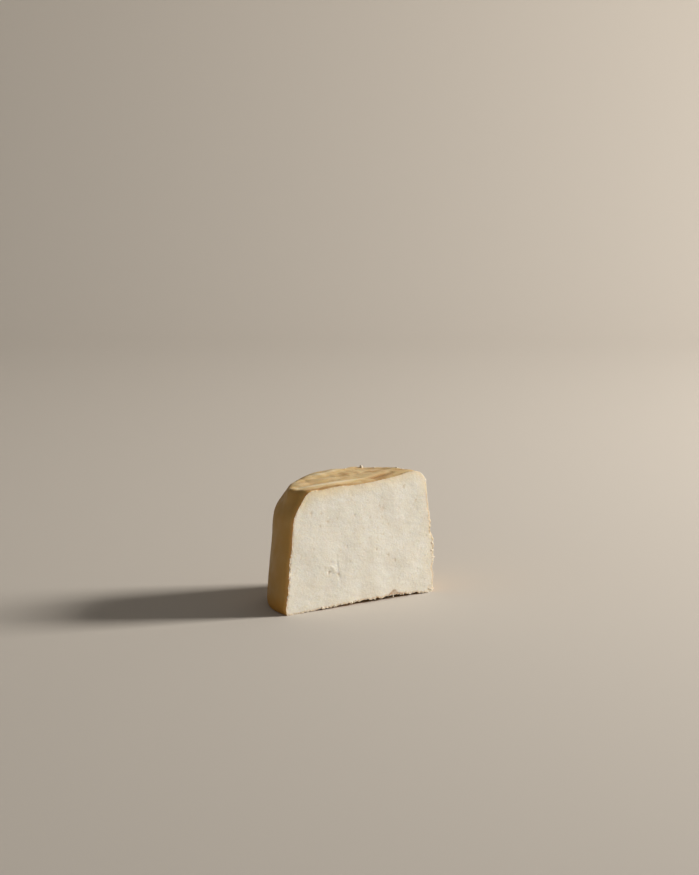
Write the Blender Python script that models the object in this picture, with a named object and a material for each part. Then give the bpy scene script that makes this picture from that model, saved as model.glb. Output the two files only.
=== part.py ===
"""A cut piece of a small round smoked goat cheese, as one solid.

The cheese is a low drum that narrows upwards, with a well rounded top edge, a rind with soft folds where
the draining cloth lay, and a flat underside. A knife has taken a little less than half of it away. The cut
face is upright and faces -Y, its width runs along X, and +Z is up. The face is crumbly paste with torn
hollows, and its lower edge arches off the surface that the piece stands on. The origin is at the middle of
the footprint, on that surface.
"""

import math
import random
from typing import NamedTuple

import bmesh
import bpy
from mathutils import Vector, noise

MM = 0.001

# The round cheese, before the cut. Its axis is X = Y = 0 while it is made.
BASE_RADIUS = 50.0 * MM
HEIGHT = 68.4 * MM
WALL_DRAFT = 0.094  # radius lost for each unit of height
SHOULDER = (18.5 * MM, 8.6 * MM)  # rounding of the top edge at the left (-X) and at the right (+X)
SHOULDER_POWER = 2.4  # how soon the left rounding turns into the right one
BELLY = (0.5 * MM, 1.7 * MM)  # how far the wall swells at the left and at the right
BELLY_SPAN = 58.0 * MM  # up to this height
FOOT_IN = (1.0 * MM, 2.4 * MM)  # how far the lower edge turns in at the left and at the right
FOOT_UP = (4.0 * MM, 9.0 * MM)  # over this height
TOP_SLOPE = 0.055  # the top climbs towards +X

# How finely the rind is divided.
TOP_CELLS = 18  # cells along each side of the top, before it is rounded to a disc
SHOULDER_STEPS = 6
WALL_STEPS = 11
FOOT_STEPS = 3

# The rind's unevenness.
WALL_WAVE = 0.35 * MM
WALL_WAVE_LENGTH = 26.0 * MM
TOP_WAVE = 0.4 * MM
TOP_WAVE_LENGTH = (24.0 * MM, 7.0 * MM)  # the cloth's small pleats run along X
TOP_RELIEF_FROM = 0.15  # how far up the rind faces where the top's relief starts: 0 is level, 1 straight up
TOP_RELIEF_FULL = 0.8  # and where it is full
FOLD_POINTS = 12  # places along a fold where its distance is taken
FOLD_END_POWER = 0.5  # how abruptly a fold starts and ends

# The cut.
CUT_FROM_AXIS = 4.2 * MM
KNIFE_WIDTH = 116.0 * MM
KNIFE_HEIGHT = 84.0 * MM
KNIFE_THICKNESS = 60.0 * MM
KNIFE_CELL = 2.0 * MM
PASTE_WAVE = 0.5 * MM
PASTE_WAVE_LENGTH = 16.0 * MM
PASTE_GRAIN = 0.45 * MM
PASTE_GRAIN_LENGTH = 3.4 * MM

# Where in Blender's noise each unevenness is read, so that they differ.
WALL_WAVE_START = Vector((3, 5, 7))
TOP_WAVE_START = Vector((11, 2, 5))
PASTE_WAVE_START = Vector((0, 0, 0))
PASTE_GRAIN_START = Vector((4, 9, 1))

# The lower edge of the cut, which stands a little off the surface below.
ARCH_RISE = 1.5 * MM
ARCH_HALF_LENGTH = 46.0 * MM
ARCH_DEPTH = 9.0 * MM
ARCH_SKEW = 0.3  # the arch is higher towards +X
ARCH_SINK = 0.15 * MM  # its middle line is this far below the underside, so that it ends cleanly
ARCH_STATIONS = 20
ARCH_SIDES = 12

# Crumbs and flakes.
CRUMB_SIDES = 6
CRUMB_RINGS = 4
CRUMB_UNEVEN = (0.8, 1.15)
SEED = 7

RIND_COLOUR = (0.60, 0.41, 0.22, 1.0)
RIND_ROUGHNESS = 0.5
PASTE_COLOUR = (0.83, 0.77, 0.66, 1.0)
PASTE_ROUGHNESS = 0.75
RIND, PASTE = 0, 1  # the order of the materials
SHARP_ANGLE = math.radians(40)


class Fold(NamedTuple):
    """A ridge (rise above 0) or a crease (rise below 0) in the rind, along a curve through three places."""

    start: tuple[float, float]
    middle: tuple[float, float]
    end: tuple[float, float]
    rise: float
    width: float


class Pit(NamedTuple):
    """A hollow torn in the paste: place across and up the face, half width, depth."""

    across: float
    up: float
    radius: float
    depth: float


class Crumb(NamedTuple):
    """A crumb or flake that stands proud: its place, half sizes, and the turn about the cut's normal."""

    place: tuple[float, float, float]
    half_size: tuple[float, float, float]
    turn: float


FOLDS = (
    Fold((-44 * MM, -1 * MM), (-18 * MM, 2 * MM), (12 * MM, -1 * MM), 1.1 * MM, 2.6 * MM),
    Fold((-40 * MM, 7 * MM), (-14 * MM, 9 * MM), (14 * MM, 4 * MM), -0.8 * MM, 3.2 * MM),
    Fold((10 * MM, 1 * MM), (20 * MM, 1 * MM), (30 * MM, 0 * MM), -1.0 * MM, 3.0 * MM),
    Fold((16 * MM, 8 * MM), (26 * MM, 7 * MM), (38 * MM, 3 * MM), 1.0 * MM, 2.8 * MM),
    Fold((-46 * MM, 6 * MM), (-36 * MM, 15 * MM), (-24 * MM, 24 * MM), -1.0 * MM, 2.4 * MM),
    Fold((-22 * MM, 20 * MM), (0 * MM, 17 * MM), (24 * MM, 17 * MM), 0.9 * MM, 3.4 * MM),
    Fold((-18 * MM, 33 * MM), (2 * MM, 26 * MM), (20 * MM, 28 * MM), -0.8 * MM, 3.0 * MM),
    Fold((6 * MM, 30 * MM), (16 * MM, 37 * MM), (22 * MM, 46 * MM), -0.9 * MM, 2.6 * MM),
)

PITS = (
    Pit(-21.5 * MM, 20.5 * MM, 2.4 * MM, 1.3 * MM),
    Pit(-15.5 * MM, 18.6 * MM, 1.8 * MM, 0.9 * MM),
    Pit(9.9 * MM, 29.4 * MM, 2.0 * MM, 1.0 * MM),
    Pit(18.1 * MM, 25.3 * MM, 1.8 * MM, 0.9 * MM),
    Pit(22.6 * MM, 21.9 * MM, 1.8 * MM, 0.8 * MM),
    Pit(14.3 * MM, 52.1 * MM, 2.6 * MM, 0.8 * MM),
    Pit(-22.4 * MM, 48.8 * MM, 2.2 * MM, 0.9 * MM),
    Pit(-4.9 * MM, 50.6 * MM, 1.8 * MM, 0.8 * MM),
    Pit(28.6 * MM, 63.1 * MM, 1.8 * MM, 0.8 * MM),
    Pit(20.6 * MM, 2.6 * MM, 3.0 * MM, 1.6 * MM),
)

CRUMBS = (
    Crumb((23 * MM, 29 * MM, 69.3 * MM), (0.9 * MM, 0.8 * MM, 1.2 * MM), 0.3),
    Crumb((48.4 * MM, -3.4 * MM, 2.4 * MM), (1.5 * MM, 1.4 * MM, 1.7 * MM), 0.5),
    Crumb((42.4 * MM, -3.2 * MM, 64.6 * MM), (1.0 * MM, 1.0 * MM, 0.8 * MM), 0.8),
    Crumb((49.9 * MM, -3.0 * MM, 20.1 * MM), (1.2 * MM, 0.9 * MM, 0.8 * MM), 0.2),
)


def smooth_step(value: float, low: float, high: float) -> float:
    """0 up to low, 1 from high, and smooth between."""
    t = min(max((value - low) / (high - low), 0.0), 1.0)
    return t * t * (3.0 - 2.0 * t)


def around_rim(sides: tuple[float, float], angle: float, power: float = 1.0) -> float:
    """A size that goes smoothly round the cheese from its left value to its right one."""
    left, right = sides
    return right + (left - right) * ((1 - math.cos(angle)) / 2) ** power


def wall_radius(height: float, angle: float) -> float:
    """Radius of the wall at a height, with its draft and its slight belly."""
    swell = around_rim(BELLY, angle) * math.sin(math.pi * min(height / BELLY_SPAN, 1.0))
    return BASE_RADIUS - WALL_DRAFT * height + swell


def shoulder_ring(angle: float) -> tuple[float, float, float]:
    """Rounding of the top edge, and the radius and height at which it is centred."""
    shoulder = around_rim(SHOULDER, angle, SHOULDER_POWER)
    wall_top = HEIGHT - shoulder
    return shoulder, wall_radius(wall_top, angle) - shoulder, wall_top


def fold_points(fold: Fold) -> list[Vector]:
    """Points along a fold: a quadratic curve through its start, middle and end."""
    start, middle, end = (Vector(place) for place in (fold.start, fold.middle, fold.end))
    control = 2.0 * middle - (start + end) / 2
    points = []
    for step in range(FOLD_POINTS + 1):
        t = step / FOLD_POINTS
        points.append((1 - t) ** 2 * start + 2 * t * (1 - t) * control + t**2 * end)
    return points


FOLD_CURVES = [(fold, fold_points(fold)) for fold in FOLDS]


def folds_height(x: float, y: float) -> float:
    """Sum of the folds at a place on the top. Each fold dies out towards its two ends."""
    place = Vector((x, y))
    total = 0.0
    for fold, points in FOLD_CURVES:
        spans = [(place - point).length for point in points]
        nearest = min(range(len(spans)), key=spans.__getitem__)
        along = math.sin(math.pi * (nearest + 0.5) / len(spans)) ** FOLD_END_POWER
        total += fold.rise * along * math.exp(-((spans[nearest] / fold.width) ** 2))
    return total


def rind_relief(point: Vector, facing_up: float) -> float:
    """How far the rind stands out from the plain drum, along its own direction.

    facing_up is 0 on the wall and 1 on the top.
    """
    wall = WALL_WAVE * noise.noise(point / WALL_WAVE_LENGTH + WALL_WAVE_START)
    pleat = Vector((point.x / TOP_WAVE_LENGTH[0], point.y / TOP_WAVE_LENGTH[1], 0.0))
    top = TOP_WAVE * noise.noise(pleat + TOP_WAVE_START) + folds_height(point.x, point.y)
    return wall + top * smooth_step(facing_up, TOP_RELIEF_FROM, TOP_RELIEF_FULL)


def rind_point(angle: float, radius: float, height: float, turn: float) -> Vector:
    """A point of the rind with its relief. turn is 0 on the wall and a quarter turn on the top."""
    around = Vector((math.cos(angle), math.sin(angle), 0.0))
    point = around * radius + Vector((0, 0, height))
    facing = around * math.cos(turn) + Vector((0, 0, math.sin(turn)))
    above_foot = smooth_step(height, 0.0, min(FOOT_UP))
    point += facing * rind_relief(point, max(math.sin(turn), 0.0)) * above_foot
    point.z *= 1.0 + TOP_SLOPE * point.x / HEIGHT
    return point


def rings_down(angle: float) -> list[tuple[float, float, float]]:
    """Radius, height and turn of the rind from the edge of the flat top down to the base."""
    shoulder, centre, wall_top = shoulder_ring(angle)
    foot_in, foot_up = around_rim(FOOT_IN, angle), around_rim(FOOT_UP, angle)
    rings = []
    for step in range(1, SHOULDER_STEPS + 1):
        turn = math.pi / 2 * (1 - step / SHOULDER_STEPS)
        rings.append((centre + shoulder * math.cos(turn), wall_top + shoulder * math.sin(turn), turn))
    for step in range(1, WALL_STEPS + 1):
        height = wall_top + (foot_up - wall_top) * step / WALL_STEPS
        rings.append((wall_radius(height, angle), height, 0.0))
    foot_centre = wall_radius(foot_up, angle) - foot_in
    for step in range(1, FOOT_STEPS + 1):
        turn = -math.pi / 2 * step / FOOT_STEPS
        height = 0.0 if step == FOOT_STEPS else foot_up * (1 + math.sin(turn))
        rings.append((foot_centre + foot_in * math.cos(turn), height, turn))
    return rings


def plain_material(name: str, colour: tuple[float, ...], roughness: float) -> bpy.types.Material:
    """A Principled material of one colour."""
    material = bpy.data.materials.new(name)
    material.use_nodes = True
    shader = material.node_tree.nodes["Principled BSDF"]
    shader.inputs["Base Color"].default_value = colour
    shader.inputs["Roughness"].default_value = roughness
    shader.inputs["Metallic"].default_value = 0.0
    return material


def cheese_materials() -> list[bpy.types.Material]:
    """The rind and the paste, made once."""
    if "paste" not in bpy.data.materials:
        plain_material("rind", RIND_COLOUR, RIND_ROUGHNESS)
        plain_material("paste", PASTE_COLOUR, PASTE_ROUGHNESS)
    return [bpy.data.materials["rind"], bpy.data.materials["paste"]]


def new_object(name: str, bm: bmesh.types.BMesh, material: int) -> bpy.types.Object:
    """Links a mesh to the scene as an object with outward faces, all of them flat triangles."""
    bmesh.ops.triangulate(bm, faces=bm.faces[:])
    bmesh.ops.recalc_face_normals(bm, faces=bm.faces)
    for face in bm.faces:
        face.material_index = material
        face.smooth = True
    mesh = bpy.data.meshes.new(name)
    bm.to_mesh(mesh)
    bm.free()
    for each in cheese_materials():
        mesh.materials.append(each)
    made = bpy.data.objects.new(name, mesh)
    bpy.context.scene.collection.objects.link(made)
    return made


def make_round_cheese(name: str) -> bpy.types.Object:
    """The whole cheese: a disc for its top, whose rim is extruded down the shoulder and the wall."""
    bm = bmesh.new()
    bmesh.ops.create_grid(bm, x_segments=TOP_CELLS, y_segments=TOP_CELLS, size=1.0)
    for vert in bm.verts:
        x, y = vert.co.x, vert.co.y
        across, along = x * math.sqrt(1 - y * y / 2), y * math.sqrt(1 - x * x / 2)
        angle = math.atan2(along, across)
        flat_radius = shoulder_ring(angle)[1]
        vert.co = rind_point(angle, flat_radius * math.hypot(across, along), HEIGHT, math.pi / 2)
    rim = [edge for edge in bm.edges if edge.is_boundary]
    around = {vert: math.atan2(vert.co.y, vert.co.x) for edge in rim for vert in edge.verts}
    for ring in range(SHOULDER_STEPS + WALL_STEPS + FOOT_STEPS):
        made = bmesh.ops.extrude_edge_only(bm, edges=rim)["geom"]
        rim = [item for item in made if isinstance(item, bmesh.types.BMEdge)]
        below = {}
        for vert in (item for item in made if isinstance(item, bmesh.types.BMVert)):
            above = next(edge.other_vert(vert) for edge in vert.link_edges if edge not in rim)
            below[vert] = around[above]
        for vert, angle in below.items():
            vert.co = rind_point(angle, *rings_down(angle)[ring])
        around = below
    bmesh.ops.contextual_create(bm, geom=rim)
    return new_object(name, bm, RIND)


def paste_relief(across: float, up: float) -> float:
    """How far the torn paste stands out from the plane of the cut. Hollows are below 0."""
    place = Vector((across, 0.0, up))
    out = PASTE_WAVE * noise.noise(place / PASTE_WAVE_LENGTH + PASTE_WAVE_START)
    out += PASTE_GRAIN * noise.noise(place / PASTE_GRAIN_LENGTH + PASTE_GRAIN_START)
    for pit in PITS:
        span = math.hypot(across - pit.across, up - pit.up) / pit.radius
        out -= pit.depth * math.exp(-(span**2))
    return out


def make_knife(name: str) -> bpy.types.Object:
    """What the cut removes: a block whose rear face carries the relief of the torn paste, turned round."""
    bm = bmesh.new()
    columns, rows = round(KNIFE_WIDTH / KNIFE_CELL), round(KNIFE_HEIGHT / KNIFE_CELL)
    bmesh.ops.create_grid(bm, x_segments=columns, y_segments=rows, size=0.5)
    for vert in bm.verts:
        across = vert.co.x * KNIFE_WIDTH
        up = vert.co.y * KNIFE_HEIGHT + HEIGHT / 2
        vert.co = Vector((across, -CUT_FROM_AXIS - paste_relief(across, up), up))
    front = bmesh.ops.extrude_face_region(bm, geom=bm.faces[:])["geom"]
    moved = {item for item in front if isinstance(item, bmesh.types.BMVert)}
    for vert in moved:
        vert.co.y = -KNIFE_THICKNESS
    flat = [face for face in bm.faces if moved.issuperset(face.verts)]
    bmesh.ops.dissolve_faces(bm, faces=flat)
    return new_object(name, bm, PASTE)


def make_arch(name: str) -> bpy.types.Object:
    """The hollow under the cut's lower edge: a long spindle that lies along that edge."""
    bm = bmesh.new()
    rings = []
    for station in range(1, ARCH_STATIONS):
        along = -1 + 2 * station / ARCH_STATIONS
        taper = (1 - abs(along) ** 3) * (1 + ARCH_SKEW * along)
        ring = []
        for side in range(ARCH_SIDES):
            angle = 2 * math.pi * (side + 0.5) / ARCH_SIDES
            place = (
                along * ARCH_HALF_LENGTH,
                -CUT_FROM_AXIS + ARCH_DEPTH * math.sqrt(taper) * math.cos(angle),
                ARCH_RISE * taper * math.sin(angle) - ARCH_SINK,
            )
            ring.append(bm.verts.new(place))
        rings.append(ring)
    for ring, following in zip(rings, rings[1:]):
        for side in range(ARCH_SIDES):
            after = (side + 1) % ARCH_SIDES
            bm.faces.new((ring[side], ring[after], following[after], following[side]))
    for ring, end in ((rings[0], -1), (rings[-1], 1)):
        tip = bm.verts.new((end * ARCH_HALF_LENGTH, -CUT_FROM_AXIS, -ARCH_SINK))
        for side in range(ARCH_SIDES):
            bm.faces.new((ring[side], ring[(side + 1) % ARCH_SIDES], tip))
    return new_object(name, bm, RIND)


def make_crumb(name: str, crumb: Crumb, rng: random.Random) -> bpy.types.Object:
    """A small uneven lump of about thirty faces."""
    bm = bmesh.new()
    bmesh.ops.create_uvsphere(bm, u_segments=CRUMB_SIDES, v_segments=CRUMB_RINGS, radius=1.0)
    for vert in bm.verts:
        vert.co *= rng.uniform(*CRUMB_UNEVEN)
        vert.co.x *= crumb.half_size[0]
        vert.co.y *= crumb.half_size[1]
        vert.co.z *= crumb.half_size[2]
    made = new_object(name, bm, PASTE)
    made.rotation_euler = (0.0, crumb.turn, 0.0)
    made.location = crumb.place
    return made


def apply_booleans(body: bpy.types.Object) -> None:
    """Replaces a body's mesh by what its modifiers leave of it."""
    evaluated = body.evaluated_get(bpy.context.evaluated_depsgraph_get())
    mesh = bpy.data.meshes.new_from_object(evaluated)
    body.modifiers.clear()
    body.data = mesh


def remove_objects(objects: list[bpy.types.Object]) -> None:
    """Removes objects that have done their work."""
    for item in objects:
        bpy.data.objects.remove(item, do_unlink=True)


def fuse_crumbs(body: bpy.types.Object) -> None:
    """Joins all crumbs to the body by one Boolean union on their collection."""
    rng = random.Random(SEED)
    group = bpy.data.collections.new("crumbs")
    bpy.context.scene.collection.children.link(group)
    for number, crumb in enumerate(CRUMBS, start=1):
        made = make_crumb(f"crumb_{number}", crumb, rng)
        bpy.context.scene.collection.objects.unlink(made)
        group.objects.link(made)
    union = body.modifiers.new("crumbs", "BOOLEAN")
    union.operation = "UNION"
    union.operand_type = "COLLECTION"
    union.collection = group
    apply_booleans(body)
    remove_objects(list(group.objects))
    bpy.data.collections.remove(group)


def cut_away(body: bpy.types.Object, cutters: list[bpy.types.Object]) -> None:
    """Takes each cutter out of the body, and then removes the cutters."""
    for cutter in cutters:
        cutter.hide_render = True
        cutter.display_type = "WIRE"
        cut = body.modifiers.new(cutter.name, "BOOLEAN")
        cut.operation = "DIFFERENCE"
        cut.object = cutter
    apply_booleans(body)
    remove_objects(cutters)


def stand_on_origin(body: bpy.types.Object) -> None:
    """Moves the mesh so that the middle of its footprint is at the origin."""
    corners = [Vector(corner) for corner in body.bound_box]
    middle = (corners[0] + corners[6]) / 2
    for vert in body.data.vertices:
        vert.co.x -= middle.x
        vert.co.y -= middle.y
    body.data.update()


def main() -> None:
    """Makes the cheese, cuts it, adds its crumbs and stands it on the origin."""
    remove_objects(list(bpy.data.objects))
    cheese = make_round_cheese("goat_cheese")
    cut_away(cheese, [make_knife("knife"), make_arch("arch")])
    fuse_crumbs(cheese)
    stand_on_origin(cheese)
    cheese.data.set_sharp_from_angle(angle=SHARP_ANGLE)


main()
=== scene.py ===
"""Looks of a cut piece of a small round smoked goat cheese.

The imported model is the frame. Its one node is replaced by a finely modelled piece with the same forms: a
round cheese with a thin smoked rind, cloth folds on its top and a well rounded top edge, from which a knife
has taken a little less than half. The cut face looks towards -Y and is torn, crumbly paste. Lengths are in
metres unless their comment says mm, and the forms are made round the axis of the whole cheese before they are
moved to their place.
"""

import logging
import math
import random
from collections.abc import Iterator
from contextlib import contextmanager
from dataclasses import dataclass, field
from enum import IntEnum, StrEnum

import bpy
import numpy as np
from mathutils import Matrix, Vector, kdtree, noise

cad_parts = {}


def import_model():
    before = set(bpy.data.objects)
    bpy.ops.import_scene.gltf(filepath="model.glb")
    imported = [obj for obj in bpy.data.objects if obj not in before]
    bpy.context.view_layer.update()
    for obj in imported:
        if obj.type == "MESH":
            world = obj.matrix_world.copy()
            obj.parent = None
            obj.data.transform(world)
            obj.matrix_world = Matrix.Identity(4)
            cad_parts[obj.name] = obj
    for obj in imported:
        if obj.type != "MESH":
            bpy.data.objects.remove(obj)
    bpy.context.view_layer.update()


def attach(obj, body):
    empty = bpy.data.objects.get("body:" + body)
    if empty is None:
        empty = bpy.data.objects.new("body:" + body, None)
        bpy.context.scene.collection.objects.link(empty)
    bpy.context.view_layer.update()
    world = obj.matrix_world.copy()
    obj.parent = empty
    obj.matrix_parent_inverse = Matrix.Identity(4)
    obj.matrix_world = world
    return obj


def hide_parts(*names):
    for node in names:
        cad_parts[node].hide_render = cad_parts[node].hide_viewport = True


LOG = logging.getLogger("goat_cheese")
MM = 0.001
AXIS_PLACE = Vector((-0.70 * MM, -22.50 * MM, 0.0))  # where the axis of the whole cheese stands
NOISE_STEP = np.array([3.1, 5.7, 7.3])  # how far apart two noises are read, in waves

Array = np.ndarray
Piece = bpy.types.Object
Elements = bpy.types.bpy_prop_collection
Material = bpy.types.Material
Node = bpy.types.Node
Socket = bpy.types.NodeSocket
Tree = bpy.types.NodeTree
Inputs = dict[str | int, object]  # what goes into a node's sockets: another node's socket, or a constant
Row = tuple[float, ...]
Pair = tuple[float, float]
LeftRight = tuple[float, float]  # the size at the left, -X, and the one at the right, +X
Triple = tuple[float, float, float]
Colour = tuple[float, float, float, float]
Steps = tuple[float, float, float, float]  # two bounds of a value, and the results at them


class Skin(IntEnum):
    """The two kinds of surface, by their material slot."""

    RIND = 0
    PASTE = 1


class Wave(IntEnum):
    """The numbers of the noises. Each number has waves of its own."""

    LUMP = 0
    WALL = 1
    WALL_RIPPLE = 2
    TOP = 3
    PLEAT = 4
    LIFT = 5
    CUT = 6
    CUT_LUMP = 7
    PIT_ACROSS = 8
    PIT_UP = 9
    FRAY = 10  # and the next two, one for each axis
    CRIMP = 13
    TONE = 14
    BROAD_FRAY = 20  # and the next two


class Element(StrEnum):
    """What is selected while a mesh is edited."""

    EDGE = "EDGE"
    FACE = "FACE"


class Change(StrEnum):
    """How one piece changes another."""

    ADD = "UNION"
    TAKE_AWAY = "DIFFERENCE"


class Tear(StrEnum):
    """The textures that roughen the torn face."""

    CRUMBS = "VORONOI"
    GRAIN = "CLOUDS"


# Selecting, editing and reading meshes.


def select_alone(piece: Piece) -> None:
    """Deselects everything, then selects a piece and makes it active.

    Args:
        piece: The object that the next operator works on.
    """
    bpy.ops.object.select_all(action="DESELECT")
    piece.select_set(True)
    bpy.context.view_layer.objects.active = piece


@contextmanager
def editing(piece: Piece, element: Element = Element.FACE) -> Iterator[None]:
    """Opens a piece in edit mode for as long as the block runs.

    Args:
        piece: The object to edit.
        element: What is selected.
    """
    select_alone(piece)
    bpy.ops.object.mode_set(mode="EDIT")
    bpy.ops.mesh.select_mode(type=element)
    try:
        yield
    finally:
        bpy.ops.object.mode_set(mode="OBJECT")


def choose(piece: Piece, element: Element, chosen: Array) -> None:
    """Selects faces or edges of a piece that is in object mode, for the next time it is edited.

    Args:
        piece: The object whose elements are selected.
        element: The kind of element.
        chosen: One truth value for each element.
    """
    mesh = piece.data
    for elements in (mesh.vertices, mesh.edges, mesh.polygons):
        elements.foreach_set("select", np.zeros(len(elements), bool))
    (mesh.edges if element == Element.EDGE else mesh.polygons).foreach_set("select", chosen)


def read_values(elements: Elements, name: str, width: int = 1, kind: type = np.int32) -> Array:
    """Reads a number or a row of numbers from each element of a mesh.

    Args:
        elements: The mesh's vertices, edges, faces or corners.
        name: What is read.
        width: How many numbers each element has.
        kind: The kind of number.

    Returns:
        One number or row for each element.
    """
    values = np.empty(len(elements) * width, kind)
    elements.foreach_get(name, values)
    return values.reshape(-1, width) if width > 1 else values


def read_points(piece: Piece) -> Array:
    """The places of a piece's vertices, one row each."""
    return read_values(piece.data.vertices, "co", 3, np.float32).astype(float)


def write_points(piece: Piece, points: Array) -> None:
    """Moves a piece's vertices to new places, one row each."""
    piece.data.vertices.foreach_set("co", points.astype(np.float32).ravel())
    piece.data.update()


def write_values(piece: Piece, name: str, values: Array) -> None:
    """Stores one number for each vertex under a name, for the finishes to read."""
    attribute = piece.data.attributes.new(name, "FLOAT", "POINT")
    attribute.data.foreach_set("value", values.astype(np.float32))


def apply_modifier(piece: Piece, name: str) -> None:
    """Applies one modifier of a piece."""
    select_alone(piece)
    bpy.ops.object.modifier_apply(modifier=name)


def combine(piece: Piece, other: Piece, change: Change) -> None:
    """Joins another piece to a piece or takes it away, and removes the other.

    Args:
        piece: The piece that stays.
        other: The piece that is added or taken away.
        change: Which of the two.
    """
    modifier = piece.modifiers.new(other.name, "BOOLEAN")
    modifier.operation = change
    modifier.solver = "MANIFOLD"
    modifier.object = other
    apply_modifier(piece, modifier.name)
    bpy.data.objects.remove(other, do_unlink=True)


def only_triangles(piece: Piece) -> None:
    """Splits every face into triangles, so that a cut never meets a bent face.

    Args:
        piece: The object whose faces are split.
    """
    with editing(piece):
        bpy.ops.mesh.select_all(action="SELECT")
        bpy.ops.mesh.quads_convert_to_tris(quad_method="BEAUTY", ngon_method="BEAUTY")
        bpy.ops.mesh.normals_make_consistent(inside=False)


# Sums that the forms share.


def soft_noise(points: Array, size: float | Triple, number: int) -> Array:
    """Soft noise from about -1 to 1.

    Args:
        points: Where it is read, one row each.
        size: Length of one wave, or one length for each axis.
        number: Number of the noise.

    Returns:
        One value for each point.
    """
    places = points / np.array(size) + NOISE_STEP * number
    return np.array([noise.noise(place) for place in places.tolist()])


def smooth_step(values: Array, low: float, high: float) -> Array:
    """0 up to low, 1 from high, and smooth between."""
    share = np.clip((values - low) / (high - low), 0.0, 1.0)
    return share * share * (3.0 - 2.0 * share)


def bell(values: Array, middle: float, half: float, power: int = 2) -> Array:
    """1 in the middle, and falling away over the half width. A higher power gives a flatter bell."""
    return np.exp(-(((values - middle) / half) ** power))


def in_mm(*rows: Row) -> tuple[Row, ...]:
    """Rows of millimetres as rows of metres."""
    return tuple(tuple(value * MM for value in row) for row in rows)


# Small forms that the cheese carries.


@dataclass(frozen=True)
class Ridge:
    """A ridge (rise above 0) or a groove (rise below 0) along a curve through three places."""

    start: Pair
    middle: Pair
    end: Pair
    rise: float
    width: float
    spans: int = 24
    end_power: float = 0.5

    def knots(self) -> Array:
        """Points along the curve, one row each.

        Returns:
            One more point than the curve has spans.
        """
        start, middle, end = (np.array(place) for place in (self.start, self.middle, self.end))
        control = 2.0 * middle - (start + end) / 2
        t = np.linspace(0.0, 1.0, self.spans + 1)[:, None]
        return (1 - t) ** 2 * start + 2 * t * (1 - t) * control + t**2 * end

    def height_at(self, places: Array) -> Array:
        """How far the ridge rises at each place. It dies out towards its two ends.

        Args:
            places: Places in the ridge's plane, one row each.

        Returns:
            One height for each place.
        """
        knots = self.knots()
        nearest = np.full(len(places), np.inf)
        along = np.zeros(len(places))
        for number, (first, second) in enumerate(zip(knots, knots[1:])):
            span = second - first
            share = np.clip((places - first) @ span / (span @ span), 0.0, 1.0)
            gap = np.linalg.norm(places - first - share[:, None] * span, axis=1)
            nearer = gap < nearest
            nearest[nearer] = gap[nearer]
            along[nearer] = (number + share[nearer]) / self.spans
        fade = np.sin(np.pi * along).clip(0.0, 1.0) ** self.end_power
        return self.rise * fade * bell(nearest, 0.0, self.width)


def ridges(*rows: Row) -> tuple[Ridge, ...]:
    """Ridges from rows of millimetres: start, middle and end places, rise and width."""
    return tuple(Ridge(row[0:2], row[2:4], row[4:6], row[6], row[7]) for row in in_mm(*rows))


def stripes(*rows: Row) -> tuple[Ridge, ...]:
    """Stripes of colour from rows like those of ridges, with a strength from 0 to 1 in place of the rise."""
    return ridges(*[(*row[:6], row[6] / MM, row[7]) for row in rows])


def sum_at(places: Array, forms: tuple[Ridge, ...]) -> Array:
    """Sum of the heights of ridges or stripes at each place."""
    return sum(form.height_at(places) for form in forms)


@dataclass(frozen=True)
class Pit:
    """A hollow torn in the paste: its place across and up the face, half width, depth and share of brown,
    which is partly painted shade.
    """

    across: float
    up: float
    radius: float
    depth: float
    brown: float


def torn_pits(*rows: Row) -> tuple[Pit, ...]:
    """Pits from rows of millimetres, each with its share of brown, partly painted shade, from 0 to 1, at the
    end.
    """
    return tuple(Pit(*in_mm(row[:4])[0], row[4]) for row in rows)


@dataclass(frozen=True)
class Crumb:
    """A crumb or flake that stands proud: its place, half sizes, and the turn about the cut's normal."""

    place: Triple
    half_size: Triple
    turn: float


def proud_crumbs(*rows: Row) -> tuple[Crumb, ...]:
    """Crumbs from rows of millimetres, three for the place and three for the half sizes, and the turn."""
    return tuple(Crumb(*in_mm(row[0:3], row[3:6]), row[6]) for row in rows)


# The pieces.


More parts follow.
